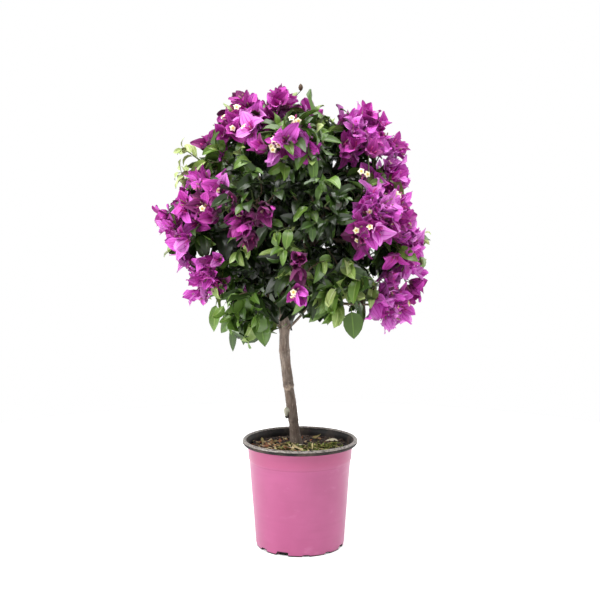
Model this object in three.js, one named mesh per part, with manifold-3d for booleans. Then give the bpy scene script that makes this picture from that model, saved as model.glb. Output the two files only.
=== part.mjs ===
// A bougainvillea grown as a standard: a bare leaning stem with a round, full head of leaves and
// blooms, in a round nursery pot. Millimetres, +Z up. The origin is the middle of the pot's flat
// underside. +X is the plant's right and -Y its front.
import * as THREE from 'three';
import { mergeVertices } from 'three/addons/utils/BufferGeometryUtils.js';
import Module from 'manifold-3d';

const wasm = await Module();
wasm.setup();

// ---- driving sizes ----

const GAP = 0.35; // the clearance between touching pieces

// The pot: a thin tapered cup with a stacking step, a rolled lip and notches round its foot.
const RIM_R = 85;
const POT_HEIGHT = 158.5;
const FOOT_R = 65;
const FOOT_ROUND = 2.5;
const WALL = 1.6;
const STEP_Z = 127; // the stacking step
const STEP_R = 74.6;
const STEP_OUT = 1.4; // how far the wall steps out there
const NECK_R = 77.2; // just under the lip
const LIP_HEIGHT = 8;
const POT_SIDES = 28; // and the soil's, so that the two keep their clearance all round
const NOTCHES = 12;
const NOTCH_FIRST_DEG = -83.4; // the bearing of the notch nearest the front
const NOTCH_WIDTH = 12;
const NOTCH_HEIGHT = 4;
const NOTCH_DEPTH = 5.5; // inwards from the foot's edge

// The soil: fills the pot to just under the lip, and is highest round the stem.
const SOIL_EDGE_Z = 146.5;
const SOIL_STEM_Z = 149;
const SOIL_FLAT_R = 13; // level ground round the stem's foot
const SOIL_RINGS = 4;
const SOIL_LUMP = 0.9;
const SOIL_LUMP_FROM = 12; // how far beyond the level ground the lumps reach their full height
const CORNER = 3; // the round between the pot's wall and its floor, inside

// The stem: it leans to the plant's left, then stands up straight under the head.
const STEM_SIDES = 14;
const STEM_STEPS = 14;
const STEM_R = 7.1;
const FLARE_R = 2.6; // added at the ground
const FLARE_HEIGHT = 16;
const FLARE_RIBS = 0.35; // how much the flare varies round the stem
const KNUCKLE_R = 1.9; // the swelling that the boughs grow from
const KNUCKLE_FROM_Z = 318;
const KNUCKLE_FULL_Z = 338;
const TOP_ROUND = 1.6; // how much the stem closes in over its last millimetres
const TOP_ROUND_HEIGHT = 6;
const OVAL = 0.3; // how far the stem's section is from round
const STEM_LINE = [
  [-5.5, 0, SOIL_STEM_Z + GAP],
  [-12.2, 2, 203],
  [-18, 3, 245],
  [-22.6, 2, 287],
  [-22.6, 0, 322],
  [-20, -1, 356],
];

// The head: masses of foliage round an open middle, where the boughs spread.
const HEAD = new THREE.Vector3(-12, 0, 482);
const CORE_R = 62;
const THROAT_R = 26; // the open way up round the stem's top, between the low masses
const LUMP = 0.2; // how uneven a mass is, as a share of its radius
const MASS_DETAIL = 3;

// Each mass: the bearing of its middle (0 is right, 90 back, 180 left, 270 front) and its height
// angle, both in degrees and seen from the head's middle; how far its tip reaches from there; and
// its half length along that line and its half width across it.
const MASSES = [
  ['blooms_top_left', 205, 67, 198, 64, 76],
  ['blooms_top_right', 352, 53, 197, 66, 62],
  ['leaves_top_front', 272, 44, 190, 62, 66],
  ['leaves_top_back', 84, 54, 194, 68, 78],
  ['leaves_upper_left', 190, 31, 188, 62, 56],
  ['leaves_upper_front', 287, 6, 188, 60, 64],
  ['leaves_front_left', 244, 12, 194, 64, 68],
  ['blooms_shoulder_right', 350, 22, 192, 66, 60],
  ['blooms_front_right', 318, 3, 200, 64, 60],
  ['blooms_left', 196, -4, 213, 78, 60],
  ['blooms_low_left', 206, -32, 196, 66, 56],
  ['blooms_right', 346, -17, 219, 74, 60],
  ['blooms_low_right', 336, -41, 230, 72, 52],
  ['leaves_low_front_left', 237, -50, 224, 72, 60],
  ['leaves_low_front', 274, -32, 192, 62, 58],
  ['leaves_low_front_right', 310, -47, 198, 62, 56],
  ['blooms_back_right', 35, 14, 200, 72, 78],
  ['blooms_back', 92, 4, 200, 70, 76],
  ['blooms_back_left', 146, 12, 200, 72, 78],
  ['leaves_low_back_right', 48, -40, 200, 68, 78],
  ['leaves_low_back_left', 126, -40, 200, 68, 80],
];

// Each bough: its name, the height on the stem, bearing and height angle that it leaves at, its
// radius there and the mass that it grows into.
const BOUGHS = [
  ['bough_left', 331, 187, 50, 3.2, 'blooms_left'],
  ['bough_right', 333, 343, 50, 3.2, 'blooms_right'],
  ['bough_front_left', 340, 240, 46, 2.7, 'leaves_front_left'],
  ['bough_front_right', 338, 292, 50, 2.8, 'blooms_front_right'],
  ['bough_back_right', 336, 38, 52, 3.1, 'blooms_back_right'],
  ['bough_back', 342, 88, 48, 2.7, 'blooms_back'],
  ['bough_back_left', 336, 138, 50, 3.1, 'blooms_back_left'],
  ['bough_top_left', 350, 208, 84, 2.4, 'blooms_top_left'],
  ['bough_top_right', 350, 8, 84, 2.4, 'blooms_top_right'],
  ['bough_low_left', 320, 216, 26, 2.4, 'leaves_low_front_left'],
  ['bough_low_right', 318, 318, 30, 2.2, 'leaves_low_front_right'],
];
const LEADER_LIFT = 70; // steeper boughs grow out of the stem's top, side by side
const LEADER_SPREAD = 4.2;
const LOW_LIFT = 40; // shallower boughs go straight to their masses
const LOW_ARCH = 8;
const BOUGH_FOOT = 16; // how far a bough keeps its first direction
const FAN_R = 45; // the ring low in the head's open middle that the other boughs fan out through
const FAN_LIFT = -58;
const BOUGH_TIP = 0.6; // a bough's radius where it enters its mass, as a share of its start
const BOUGH_CLEAR = 0.6; // the clearance between a bough's end and its mass
const BOUGH_SIDES = 5;
const BOUGH_STEPS = 8;

// ---- helpers ----

const rad = THREE.MathUtils.degToRad;

// A unit vector at a bearing and a height angle, in degrees.
function heading(bearing, lift) {
  const flat = Math.cos(rad(lift));
  return new THREE.Vector3(
    Math.cos(rad(bearing)) * flat,
    Math.sin(rad(bearing)) * flat,
    Math.sin(rad(lift)),
  );
}

// A smooth wobble between -1 and 1 over directions, different for each seed.
function wobble(d, seed) {
  const a = Math.sin(3.1 * d.x + 2.3 * d.y + 1.7 * seed);
  const b = Math.sin(2.7 * d.y - 3.4 * d.z + 2.9 * seed);
  const c = Math.sin(4.3 * d.z + 3.7 * d.x + 4.1 * seed);
  const fine = Math.sin(7.1 * d.x + 5.3 * seed) * Math.sin(6.7 * d.y - 6.1 * d.z + seed);
  return (a + b + c) / 4 + fine / 4;
}

// A manifold-3d solid of a closed geometry.
function solid(geometry) {
  const bare = geometry.index ? geometry.toNonIndexed() : geometry.clone();
  bare.deleteAttribute('normal');
  bare.deleteAttribute('uv');
  const merged = mergeVertices(bare, 1e-3);
  return new wasm.Manifold(
    new wasm.Mesh({
      numProp: 3,
      vertProperties: merged.attributes.position.array,
      triVerts: new Uint32Array(merged.index.array),
    }),
  );
}

// A BufferGeometry of a manifold-3d solid, with flat faces.
function geometryOf(made) {
  const mesh = made.getMesh();
  const geometry = new THREE.BufferGeometry();
  geometry.setAttribute('position', new THREE.BufferAttribute(mesh.vertProperties, mesh.numProp));
  geometry.setIndex(new THREE.BufferAttribute(mesh.triVerts, 1));
  const flat = geometry.toNonIndexed();
  flat.computeVertexNormals();
  return flat;
}

// The biggest of a solid's separate bodies.
function biggest(made) {
  return made.decompose().sort((a, b) => b.volume() - a.volume())[0];
}

// A closed geometry of stacked rings: ring(i, angle) gives each point, and both ends are capped.
function stackedRings(count, sides, ring) {
  const points = [];
  const faces = [];
  for (let i = 0; i < count; i++) {
    for (let j = 0; j < sides; j++) points.push(...ring(i, (j / sides) * 2 * Math.PI).toArray());
  }
  const middle = (i) => {
    const centre = new THREE.Vector3();
    for (let j = 0; j < sides; j++) centre.add(ring(i, (j / sides) * 2 * Math.PI));
    return centre.divideScalar(sides);
  };
  points.push(...middle(0).toArray(), ...middle(count - 1).toArray());
  const [bottom, top] = [count * sides, count * sides + 1];
  for (let j = 0; j < sides; j++) {
    const k = (j + 1) % sides;
    faces.push(bottom, k, j, top, (count - 1) * sides + j, (count - 1) * sides + k);
    for (let i = 0; i + 1 < count; i++) {
      const [a, b, c, d] = [i * sides + j, i * sides + k, (i + 1) * sides + k, (i + 1) * sides + j];
      faces.push(a, b, c, a, c, d);
    }
  }
  const geometry = new THREE.BufferGeometry();
  geometry.setAttribute('position', new THREE.Float32BufferAttribute(points, 3));
  geometry.setIndex(faces);
  return geometry;
}

// A tapering limb along a curve, round in section. radius(t) gives its radius along the way.
function limb(curve, steps, sides, radius) {
  const frames = curve.computeFrenetFrames(steps);
  return stackedRings(steps + 1, sides, (i, angle) => {
    const r = radius(i / steps);
    return curve
      .getPointAt(i / steps)
      .addScaledVector(frames.normals[i], Math.cos(angle) * r)
      .addScaledVector(frames.binormals[i], Math.sin(angle) * r);
  });
}

// ---- the pot ----

// The inside radius of the pot at a height.
function insideRadius(z) {
  const [low, high] = z < STEP_Z ? [FOOT_R, STEP_R] : [STEP_R + STEP_OUT, NECK_R];
  const [from, to] = z < STEP_Z ? [0, STEP_Z] : [STEP_Z, POT_HEIGHT - LIP_HEIGHT];
  return THREE.MathUtils.mapLinear(z, from, to, low, high) - WALL;
}

function potGeometry() {
  const neckZ = POT_HEIGHT - LIP_HEIGHT;
  const inside = (z) => [insideRadius(z), z];
  const profile = [
    [0, 0],
    [FOOT_R - FOOT_ROUND, 0],
    [FOOT_R, FOOT_ROUND],
    [STEP_R, STEP_Z],
    [STEP_R + STEP_OUT, STEP_Z + STEP_OUT],
    [NECK_R, neckZ],
    [RIM_R - 2, neckZ + 0.4],
    [RIM_R, neckZ + 3],
    [RIM_R - 1.2, POT_HEIGHT - 1.4],
    [RIM_R - 4.2, POT_HEIGHT],
    [NECK_R + 0.6, POT_HEIGHT - 0.6],
    inside(POT_HEIGHT - 3),
    inside(STEP_Z + STEP_OUT),
    inside(STEP_Z - 1),
    inside(WALL + CORNER),
    [insideRadius(WALL) - CORNER, WALL],
    [0, WALL],
  ];
  const points = profile.map(([r, z]) => new THREE.Vector2(r, z));
  const cup = new THREE.LatheGeometry(points, POT_SIDES).rotateX(Math.PI / 2);
  let made = solid(cup);
  for (let i = 0; i < NOTCHES; i++) {
    const notch = new THREE.BoxGeometry(NOTCH_DEPTH * 2, NOTCH_WIDTH, NOTCH_HEIGHT * 2)
      .translate(FOOT_R, 0, 0)
      .rotateZ(rad(NOTCH_FIRST_DEG + (i * 360) / NOTCHES));
    made = made.subtract(solid(notch));
  }
  return geometryOf(made);
}

// ---- the soil ----

// The soil's height at a distance from the pot's middle and an angle: level round the stem, then
// falling to the edge in low lumps.
function soilHeight(r, angle) {
  const { smoothstep, lerp } = THREE.MathUtils;
  const fall = lerp(SOIL_STEM_Z, SOIL_EDGE_Z, smoothstep(r, SOIL_FLAT_R, insideRadius(SOIL_EDGE_Z)));
  const lump = Math.sin(5 * angle + r / 7) * Math.sin(r / 9 + 2 * Math.cos(angle));
  return fall + SOIL_LUMP * lump * smoothstep(r, SOIL_FLAT_R, SOIL_FLAT_R + SOIL_LUMP_FROM);
}

function soilGeometry() {
  const floorZ = WALL + GAP;
  const cornerZ = WALL + CORNER;
  const underStep = insideRadius(STEP_Z - 1) - GAP;
  const wallRings = [
    [insideRadius(floorZ) - CORNER - GAP, floorZ],
    [insideRadius(cornerZ) - GAP, cornerZ + GAP],
    [underStep, STEP_Z - 1],
    [underStep, STEP_Z + STEP_OUT + 1],
  ];
  const edgeR = insideRadius(SOIL_EDGE_Z) - GAP;
  return stackedRings(wallRings.length + SOIL_RINGS, POT_SIDES, (i, angle) => {
    const inwards = i - wallRings.length;
    const share = 1 - inwards / (SOIL_RINGS - 1);
    const r = inwards < 0 ? wallRings[i][0] : THREE.MathUtils.lerp(SOIL_FLAT_R, edgeR, share);
    const z = inwards < 0 ? wallRings[i][1] : soilHeight(r, angle);
    return new THREE.Vector3(r * Math.cos(angle), r * Math.sin(angle), z);
  });
}

// ---- the stem ----

const stemCurve = new THREE.CatmullRomCurve3(
  STEM_LINE.map((p) => new THREE.Vector3(...p)),
  false,
  'centripetal',
);
const stemTopZ = STEM_LINE.at(-1)[2];

// The point of the stem's middle line at a height.
function stemAt(z) {
  let [low, high] = [0, 1];
  for (let i = 0; i < 24; i++) {
    const half = (low + high) / 2;
    if (stemCurve.getPointAt(half).z < z) low = half;
    else high = half;
  }
  return stemCurve.getPointAt(low);
}

// The stem's radius at a height and an angle: flared at the ground, swollen where the boughs leave
// and rounded off at the top.
function stemRadius(z, angle) {
  const rise = Math.max(0, 1 - (z - SOIL_STEM_Z) / FLARE_HEIGHT);
  const flare = FLARE_R * rise * rise * (1 + FLARE_RIBS * Math.sin(3 * angle + 0.7));
  const knuckle = KNUCKLE_R * THREE.MathUtils.smoothstep(z, KNUCKLE_FROM_Z, KNUCKLE_FULL_Z);
  const close = Math.max(0, 1 - (stemTopZ - z) / TOP_ROUND_HEIGHT);
  const oval = OVAL * Math.sin(2 * angle + z / 31);
  return STEM_R + flare + knuckle - TOP_ROUND * close * close + oval;
}

// The stem with its radius grown by extra, as level rings from the flat foot to the top.
function stemGeometry(extra = 0) {
  const [low, high] = [SOIL_STEM_Z + GAP, stemTopZ];
  return stackedRings(STEM_STEPS + 1, STEM_SIDES, (i, angle) => {
    const z = THREE.MathUtils.lerp(low, high, i / STEM_STEPS);
    const r = stemRadius(z, angle) + extra;
    const middle = stemAt(z);
    return new THREE.Vector3(middle.x + r * Math.cos(angle), middle.y + r * Math.sin(angle), z);
  });
}

// ---- the masses of foliage ----

const masses = MASSES.map(([name, bearing, lift, reach, along, across], index) => {
  const out = heading(bearing, lift);
  const middle = HEAD.clone().addScaledVector(out, reach - along);
  return { name, out, middle, along, across, seed: index + 1 };
});

// Planes that a mass stays behind: between it and each neighbour, clear of the head's open middle
// and, low down, clear of the stem. Each is a unit normal and its distance from the mass's middle.
function limits(mass) {
  const planes = [];
  for (const other of masses) {
    if (other === mass) continue;
    const way = other.middle.clone().sub(mass.middle);
    const share = mass.across / (mass.across + other.across);
    planes.push([way.clone().normalize(), way.length() * share - GAP]);
  }
  const inwards = HEAD.clone().sub(mass.middle);
  planes.push([inwards.clone().normalize(), inwards.length() - CORE_R]);
  if (mass.out.z > 0) return planes;
  const toStem = stemAt(stemTopZ).sub(mass.middle).setZ(0);
  planes.push([toStem.clone().normalize(), toStem.length() - THROAT_R]);
  return planes;
}

// How far a mass reaches from its middle in a direction: an ellipsoid along its own line, made
// uneven, and stopped by its limits.
function massReach(mass, d, planes) {
  const axial = d.dot(mass.out);
  const sideways = Math.sqrt(Math.max(0, 1 - axial * axial));
  const round = 1 / Math.hypot(axial / mass.along, sideways / mass.across);
  let reach = round * (1 - LUMP * 0.5 + LUMP * wobble(d, mass.seed));
  for (const [normal, distance] of planes) {
    const facing = d.dot(normal);
    if (facing > 1e-6) reach = Math.min(reach, distance / facing);
  }
  return reach;
}

function massGeometry(mass, extra = 0) {
  const planes = limits(mass);
  const ball = new THREE.IcosahedronGeometry(1, MASS_DETAIL);
  const place = ball.getAttribute('position');
  const d = new THREE.Vector3();
  for (let i = 0; i < place.count; i++) {
    d.fromBufferAttribute(place, i).normalize();
    const reach = massReach(mass, d, planes) + extra;
    place.setXYZ(i, ...d.multiplyScalar(reach).add(mass.middle).toArray());
  }
  ball.computeVertexNormals();
  return ball;
}

// ---- the boughs ----

// A bough keeps its first direction for a little way and ends in the middle of its mass. A low one
// arches straight over to it, and the others go up through a ring in the head's open middle.
function boughCurve(z, bearing, lift, mass) {
  const out = heading(bearing, 0);
  const start = stemAt(z).addScaledVector(out, lift > LEADER_LIFT ? LEADER_SPREAD : 0);
  const foot = start.clone().addScaledVector(heading(bearing, lift), BOUGH_FOOT);
  const bend = HEAD.clone().addScaledVector(heading(bearing, FAN_LIFT), FAN_R);
  if (lift > LEADER_LIFT) bend.addScaledVector(out, -LEADER_SPREAD * 4);
  if (lift < LOW_LIFT) bend.lerpVectors(foot, mass.middle, 0.5).setZ(bend.z + LOW_ARCH);
  return new THREE.CatmullRomCurve3([start, foot, bend, mass.middle], false, 'centripetal');
}

function boughGeometry([, z, bearing, lift, radius, target], cutters) {
  const curve = boughCurve(z, bearing, lift, masses.find((mass) => mass.name === target));
  const shape = (t) => radius * THREE.MathUtils.lerp(1, BOUGH_TIP, t);
  let made = solid(limb(curve, BOUGH_STEPS, BOUGH_SIDES, shape));
  for (const cutter of cutters) made = made.subtract(cutter);
  return geometryOf(biggest(made));
}

// ---- the whole plant ----

const plant = new THREE.Group();

function add(name, geometry, colour, roughness) {
  const material = new THREE.MeshStandardMaterial({ color: colour, roughness, metalness: 0 });
  const mesh = new THREE.Mesh(geometry, material);
  mesh.name = name;
  plant.add(mesh);
}

add('pot', potGeometry(), 0xd9609f, 0.45);
add('soil', soilGeometry(), 0x3a2a20, 0.95);
add('stem', stemGeometry(), 0x7a6a60, 0.85);
for (const mass of masses) {
  const blooming = mass.name.startsWith('blooms');
  add(mass.name, massGeometry(mass), blooming ? 0xb32a9c : 0x3d5a2a, 0.8);
}
const cutters = [
  solid(stemGeometry(GAP)),
  ...masses.map((mass) => solid(massGeometry(mass, BOUGH_CLEAR))),
];
for (const bough of BOUGHS) add(bough[0], boughGeometry(bough, cutters), 0x66564a, 0.85);

export default plant;
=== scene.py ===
"""A bougainvillea on a stem, in a round two-colour nursery pot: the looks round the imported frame.

Sizes are in millimetres until a mesh is made, and MM turns them into metres.
"""
import math

import bmesh
import bpy
import numpy as np
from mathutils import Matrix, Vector


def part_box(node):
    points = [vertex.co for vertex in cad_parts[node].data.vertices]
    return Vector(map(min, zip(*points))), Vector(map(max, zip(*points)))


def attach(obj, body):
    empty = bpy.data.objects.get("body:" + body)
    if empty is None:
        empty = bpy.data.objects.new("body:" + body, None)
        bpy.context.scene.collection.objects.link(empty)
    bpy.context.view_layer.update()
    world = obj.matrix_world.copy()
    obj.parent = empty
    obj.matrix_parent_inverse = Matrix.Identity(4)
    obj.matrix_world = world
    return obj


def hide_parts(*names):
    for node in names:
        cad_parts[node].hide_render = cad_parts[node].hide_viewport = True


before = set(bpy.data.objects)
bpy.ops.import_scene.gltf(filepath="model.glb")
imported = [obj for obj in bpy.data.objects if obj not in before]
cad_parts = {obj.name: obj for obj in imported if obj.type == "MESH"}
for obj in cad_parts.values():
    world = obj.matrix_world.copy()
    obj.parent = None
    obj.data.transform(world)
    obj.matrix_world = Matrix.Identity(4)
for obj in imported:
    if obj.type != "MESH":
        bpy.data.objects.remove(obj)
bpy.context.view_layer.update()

MM = 0.001
UP = np.array([0.0, 0.0, 1.0])
GOLDEN_TURN = 2.39996        # the golden angle, in radians
SEED = 7

# ---- sizes chosen for this plant, in millimetres ----

LEAF_LENGTH = (24, 48)
LEAF_WIDTH = 0.44            # a share of the leaf's length
LEAF_STALK = 0.17            # the same
LEAF_SPACING = 7.5           # along a twig
LEAF_MARGIN = (9, 31)        # how far inside its mass's surface a leafy twig ends
HANGING_LEAF = 38            # the length of a leaf that hangs by itself
BRACT_LENGTH = (20, 31)
BRACT_WIDTH = 0.66
BLOOM_MARGIN = (18, 31)      # how far inside its mass's surface a blooming twig ends
TUBE_LENGTH = 15.5
STAR_RADIUS = 5.0
STAR_SHARE = 0.04            # how many tubes carry an open star by chance
TWIG_RADIUS = (1.2, 0.5)     # where it leaves its limb, and at its tip
LIMB_RADIUS = (2.3, 1.2)
TWIGS_PER_MASS = 30

# ---- the frame: what the CAD nodes say ----


def corners(node):
    """The different corner points of a CAD node, in millimetres."""
    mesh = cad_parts[node].data
    flat = np.empty(len(mesh.vertices) * 3)
    mesh.vertices.foreach_get("co", flat)
    return np.unique((flat.reshape(-1, 3) / MM).round(3), axis=0)


def node_box(node):
    """The lowest and highest corners of a CAD node, in millimetres."""
    low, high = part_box(node)
    return np.array(low) / MM, np.array(high) / MM


MASSES = [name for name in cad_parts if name.startswith(("blooms_", "leaves_"))]
BOUGHS = [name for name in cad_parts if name.startswith("bough_")]
MASS_BOXES = np.array([node_box(name) for name in MASSES])
HEAD = (MASS_BOXES[:, 0].min(axis=0) + MASS_BOXES[:, 1].max(axis=0)) / 2
POT_HIGH = node_box("pot")[1]
SOIL_HIGH = node_box("soil")[1]

# ---- arrays ----


def unit(v):
    """Each vector divided by its own length."""
    return v / np.maximum(np.linalg.norm(v, axis=-1, keepdims=True), 1e-9)


def smooth(x, low, high):
    """0 below low, 1 above high, and an S-shaped step between."""
    t = np.clip((np.asarray(x, float) - low) / (high - low), 0, 1)
    return t * t * (3 - 2 * t)


def ripple(points, seed, waves=7, reach=1.0):
    """A smooth uneven number, about -1 to 1: a sum of sine waves over the points' coordinates, in
    seeded directions and with seeded phases. reach is the usual wavelength."""
    dice = np.random.default_rng(seed)
    ways = dice.normal(size=(waves, points.shape[-1])) * 2.4 / reach
    phases = dice.uniform(0, 2 * np.pi, waves)
    return np.sin(points @ ways.T + phases).sum(axis=-1) / math.sqrt(waves)


def curve_through(points, count):
    """count points on a smooth curve through the given ones: on each stretch, a cubic whose ends
    have the slope between their two neighbours."""
    points = np.asarray(points, float)
    ends = [2 * points[0] - points[1], *points, 2 * points[-1] - points[-2]]
    p = np.array(ends)
    t = np.linspace(0, len(points) - 1, count)
    i = np.minimum(t.astype(int), len(points) - 2)
    s = (t - i)[:, None]
    a, b, c, d = p[i], p[i + 1], p[i + 2], p[i + 3]
    bend = 2 * a - 5 * b + 4 * c - d
    return b + 0.5 * s * (c - a + s * (bend + s * (3 * (b - c) + d - a)))


def lengths_along(path):
    """How far each point of a path is along it."""
    return np.concatenate([[0], np.cumsum(np.linalg.norm(np.diff(path, axis=0), axis=1))])


def across(tangents):
    """Two unit vectors square to each tangent and to each other."""
    flat = tangents.reshape(-1, 3)
    least = np.argmin(np.abs(flat).mean(axis=0))
    side = unit(np.cross(flat, np.eye(3)[least])).reshape(tangents.shape)
    return side, np.cross(tangents, side)


# ---- meshes ----


def grid_faces(rows, columns, around=False):
    """The quads of a grid of points that are numbered row by row. around joins its two sides."""
    i = np.arange(rows - 1)[:, None] * columns
    j = np.arange(columns if around else columns - 1)[None, :]
    k = (j + 1) % columns
    quads = [i + j, i + k, i + columns + k, i + columns + j]
    return np.stack(np.broadcast_arrays(*quads), axis=-1).reshape(-1, 4)


def placed(name, data):
    """A new object in the scene: a mesh, a lamp or a camera."""
    made = bpy.data.objects.new(name, data)
    bpy.context.scene.collection.objects.link(made)
    return made


class Piece:
    """Points, faces and each face's finish, gathered for one joined mesh."""

    def __init__(self):
        self.points, self.faces, self.finishes, self.count = [], [], [], 0

    def add(self, points, faces, finish):
        """points (n, 3) in millimetres, faces that number them, and one finish or one a face."""
        self.points.append(points.reshape(-1, 3))
        self.faces += (np.asarray(faces) + self.count).tolist()
        self.finishes.append(np.broadcast_to(finish, (len(faces),)))
        self.count += len(self.points[-1])

    def make(self, name, materials, nodes=(), shade=True):
        """The finished object: it rides on the plant's one body, and the CAD nodes it stands for
        are hidden.
        """
        mesh = bpy.data.meshes.new(name)
        mesh.from_pydata((np.concatenate(self.points) * MM).tolist(), [], self.faces)
        for material in materials:
            mesh.materials.append(material)
        finishes = np.concatenate(self.finishes).astype(np.int32)
        mesh.polygons.foreach_set("material_index", finishes)
        mesh.polygons.foreach_set("use_smooth", np.full(len(self.faces), shade))
        mesh.update()
        piece = placed(name, mesh)
        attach(piece, "root")
        if nodes:
            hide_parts(*nodes)
        return piece


def rings_round(paths, sides):
    """Unit circles square to paths (..., steps, 3) at each step: sides points on each."""
    side, other = across(unit(np.gradient(paths, axis=-2)))
    angle = np.arange(sides) / sides * 2 * np.pi
    cos, sin = np.cos(angle)[:, None], np.sin(angle)[:, None]
    return cos * side[..., None, :] + sin * other[..., None, :]


def add_tubes(piece, paths, radii, sides, finish):
    """Round limbs along paths (n, steps, 3) with radii (n, steps), closed at both ends."""
    count, steps = radii.shape
    points = paths[:, :, None] + rings_round(paths, sides) * radii[:, :, None, None]
    quads = grid_faces(steps, sides, around=True)
    first = np.arange(count)[:, None, None] * steps * sides
    walls = (quads[None] + first).reshape(-1, 4)
    start = np.arange(sides)[::-1][None] + first[:, 0]
    end = np.arange(sides)[None] + (steps - 1) * sides + first[:, 0]
    shares = np.broadcast_to(finish, (count,))
    base = piece.count
    piece.add(points, walls, np.repeat(shares, len(quads)))
    for cap in (start, end):
        piece.faces += (cap + base).tolist()
        piece.finishes.append(shares)


def add_blades(piece, blades, rows, columns, outline, finish_of):
    """Leaves or bracts. Each is a grid over u, from its foot to its tip, and v, from edge to
    edge. Its middle line is an arc that turns away from its upper side by bend radians, its half
    width at u is outline(u), its edges rise by fold and wave up and down by ruffle, and its cross
    section turns about the middle line by twist radians from foot to tip."""
    u, v = np.array(rows)[None, :, None], np.array(columns)[None, None, :]
    length, width, bend = (blades[key][:, None, None] for key in ("length", "width", "bend"))
    fold, ruffle, phase = (blades[key][:, None, None] for key in ("fold", "ruffle", "phase"))
    turn = bend * np.clip(u, 0, 1)
    safe = np.where(np.abs(bend) < 1e-3, 1e-3, bend)
    run = np.where(u > 0, np.sin(turn) / safe, u) * length
    drop = np.where(u > 0, (1 - np.cos(turn)) / safe, 0) * length
    half = outline(u) * width
    rise = half * np.abs(v) * fold + length * ruffle * v**2 * np.sin(9 * u + 2 * v + phase)
    twist = blades["twist"][:, None, None] * np.clip(u, 0, 1)
    wide = half * v * np.cos(twist) - rise * np.sin(twist)
    rise = half * v * np.sin(twist) + rise * np.cos(twist)
    along, high = run + rise * np.sin(turn), rise * np.cos(turn) - drop
    axis, normal = blades["axis"], blades["normal"]
    side = np.cross(normal, axis)
    points = blades["foot"][:, None, None]
    for way, size in ((axis, along), (side, wide), (normal, high)):
        points = points + size[..., None] * way[:, None, None]
    quads = grid_faces(len(rows), len(columns))
    count = len(axis)
    first = np.arange(count)[:, None, None] * len(rows) * len(columns)
    finish = finish_of(blades["tone"][:, None, None], len(rows) - 1, len(columns) - 1)
    piece.add(points, (quads[None] + first).reshape(-1, 4), finish.reshape(-1))


# ---- finishes ----


def colour(red, green, blue):
    """A colour given as 0 to 255 on a screen, as linear values."""
    c = np.array([red, green, blue]) / 255
    return (*np.where(c <= 0.04045, c / 12.92, ((c + 0.055) / 1.055) ** 2.4), 1.0)


def plain(name, rgb, roughness, sheen=0.0):
    """One even colour, for the small things that are dealt out by spray."""
    material = bpy.data.materials.new(name)
    material.use_nodes = True
    shader = material.node_tree.nodes["Principled BSDF"]
    shader.inputs["Base Color"].default_value = colour(*rgb)
    shader.inputs["Roughness"].default_value = roughness
    shader.inputs["Sheen Weight"].default_value = sheen
    return material


class Nodes:
    """A short way to write a material's node tree."""

    def __init__(self, name):
        self.material = bpy.data.materials.new(name)
        self.material.use_nodes = True
        self.tree = self.material.node_tree
        self.shader = self.tree.nodes["Principled BSDF"]
        self.place = self.tree.nodes.new("ShaderNodeTexCoord").outputs["Object"]

    def node(self, kind, inputs=(), **settings):
        """A node of a kind, with its settings and its inputs, by name, set or linked."""
        made = self.tree.nodes.new(kind)
        for key, value in settings.items():
            setattr(made, key, value)
        for key, value in dict(inputs).items():
            if isinstance(value, bpy.types.NodeSocket):
                self.tree.links.new(value, made.inputs[key])
            else:
                made.inputs[key].default_value = value
        return made

    def stretched(self, scale):
        """Object coordinates in metres, scaled along each axis."""
        mapped = self.node("ShaderNodeMapping", {"Vector": self.place, "Scale": scale})
        return mapped.outputs["Vector"]

    def noise(self, scale, detail=4.0, vector=None, roughness=0.55):
        """Cloudy noise, 0 to 1."""
        inputs = {"Vector": vector or self.place, "Scale": scale, "Detail": detail}
        return self.node("ShaderNodeTexNoise", {**inputs, "Roughness": roughness}).outputs["Fac"]

    def ramp(self, value, stops):
        """Colours dealt out by a value: stops are (value, colour)."""
        made = self.node("ShaderNodeValToRGB", {"Fac": value})
        elements = made.color_ramp.elements
        while len(elements) < len(stops):
            elements.new(0.5)
        for element, (position, rgba) in zip(elements, stops):
            element.position, element.color = position, rgba
        return made.outputs["Color"]

    def math(self, operation, a, b=0.0):
        """One sum on one or two values."""
        return self.node("ShaderNodeMath", {0: a, 1: b}, operation=operation).outputs[0]

    def up(self):
        """The height above the ground, in metres."""
        return self.node("ShaderNodeSeparateXYZ", {"Vector": self.place}).outputs["Z"]

    def mix(self, share, a, b):
        """a where share is 0 and b where it is 1."""
        made = self.node("ShaderNodeMix", data_type="RGBA")
        for socket, value in ((made.inputs[0], share), (made.inputs[6], a), (made.inputs[7], b)):
            if isinstance(value, bpy.types.NodeSocket):
                self.tree.links.new(value, socket)
            else:
                socket.default_value = value
        return made.outputs[2]

    def spread(self, value, low, high, to_low=0.0, to_high=1.0):
        """A value moved from one range to another, and held inside it."""
        inputs = {"Value": value, "From Min": low, "From Max": high}
        made = self.node("ShaderNodeMapRange", {**inputs, "To Min": to_low, "To Max": to_high})
        return made.outputs["Result"]

    def finish(self, base, roughness, height=None, depth=0.0002, strength=1.0):
        """Links the colour, the roughness and the relief to the shader."""
        self.tree.links.new(base, self.shader.inputs["Base Color"])
        if isinstance(roughness, bpy.types.NodeSocket):
            self.tree.links.new(roughness, self.shader.inputs["Roughness"])
        else:
            self.shader.inputs["Roughness"].default_value = roughness
        if height is not None:
            inputs = {"Height": height, "Distance": depth, "Strength": strength}
            bump = self.node("ShaderNodeBump", inputs)
            self.tree.links.new(bump.outputs["Normal"], self.shader.inputs["Normal"])
        return self.material


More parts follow.
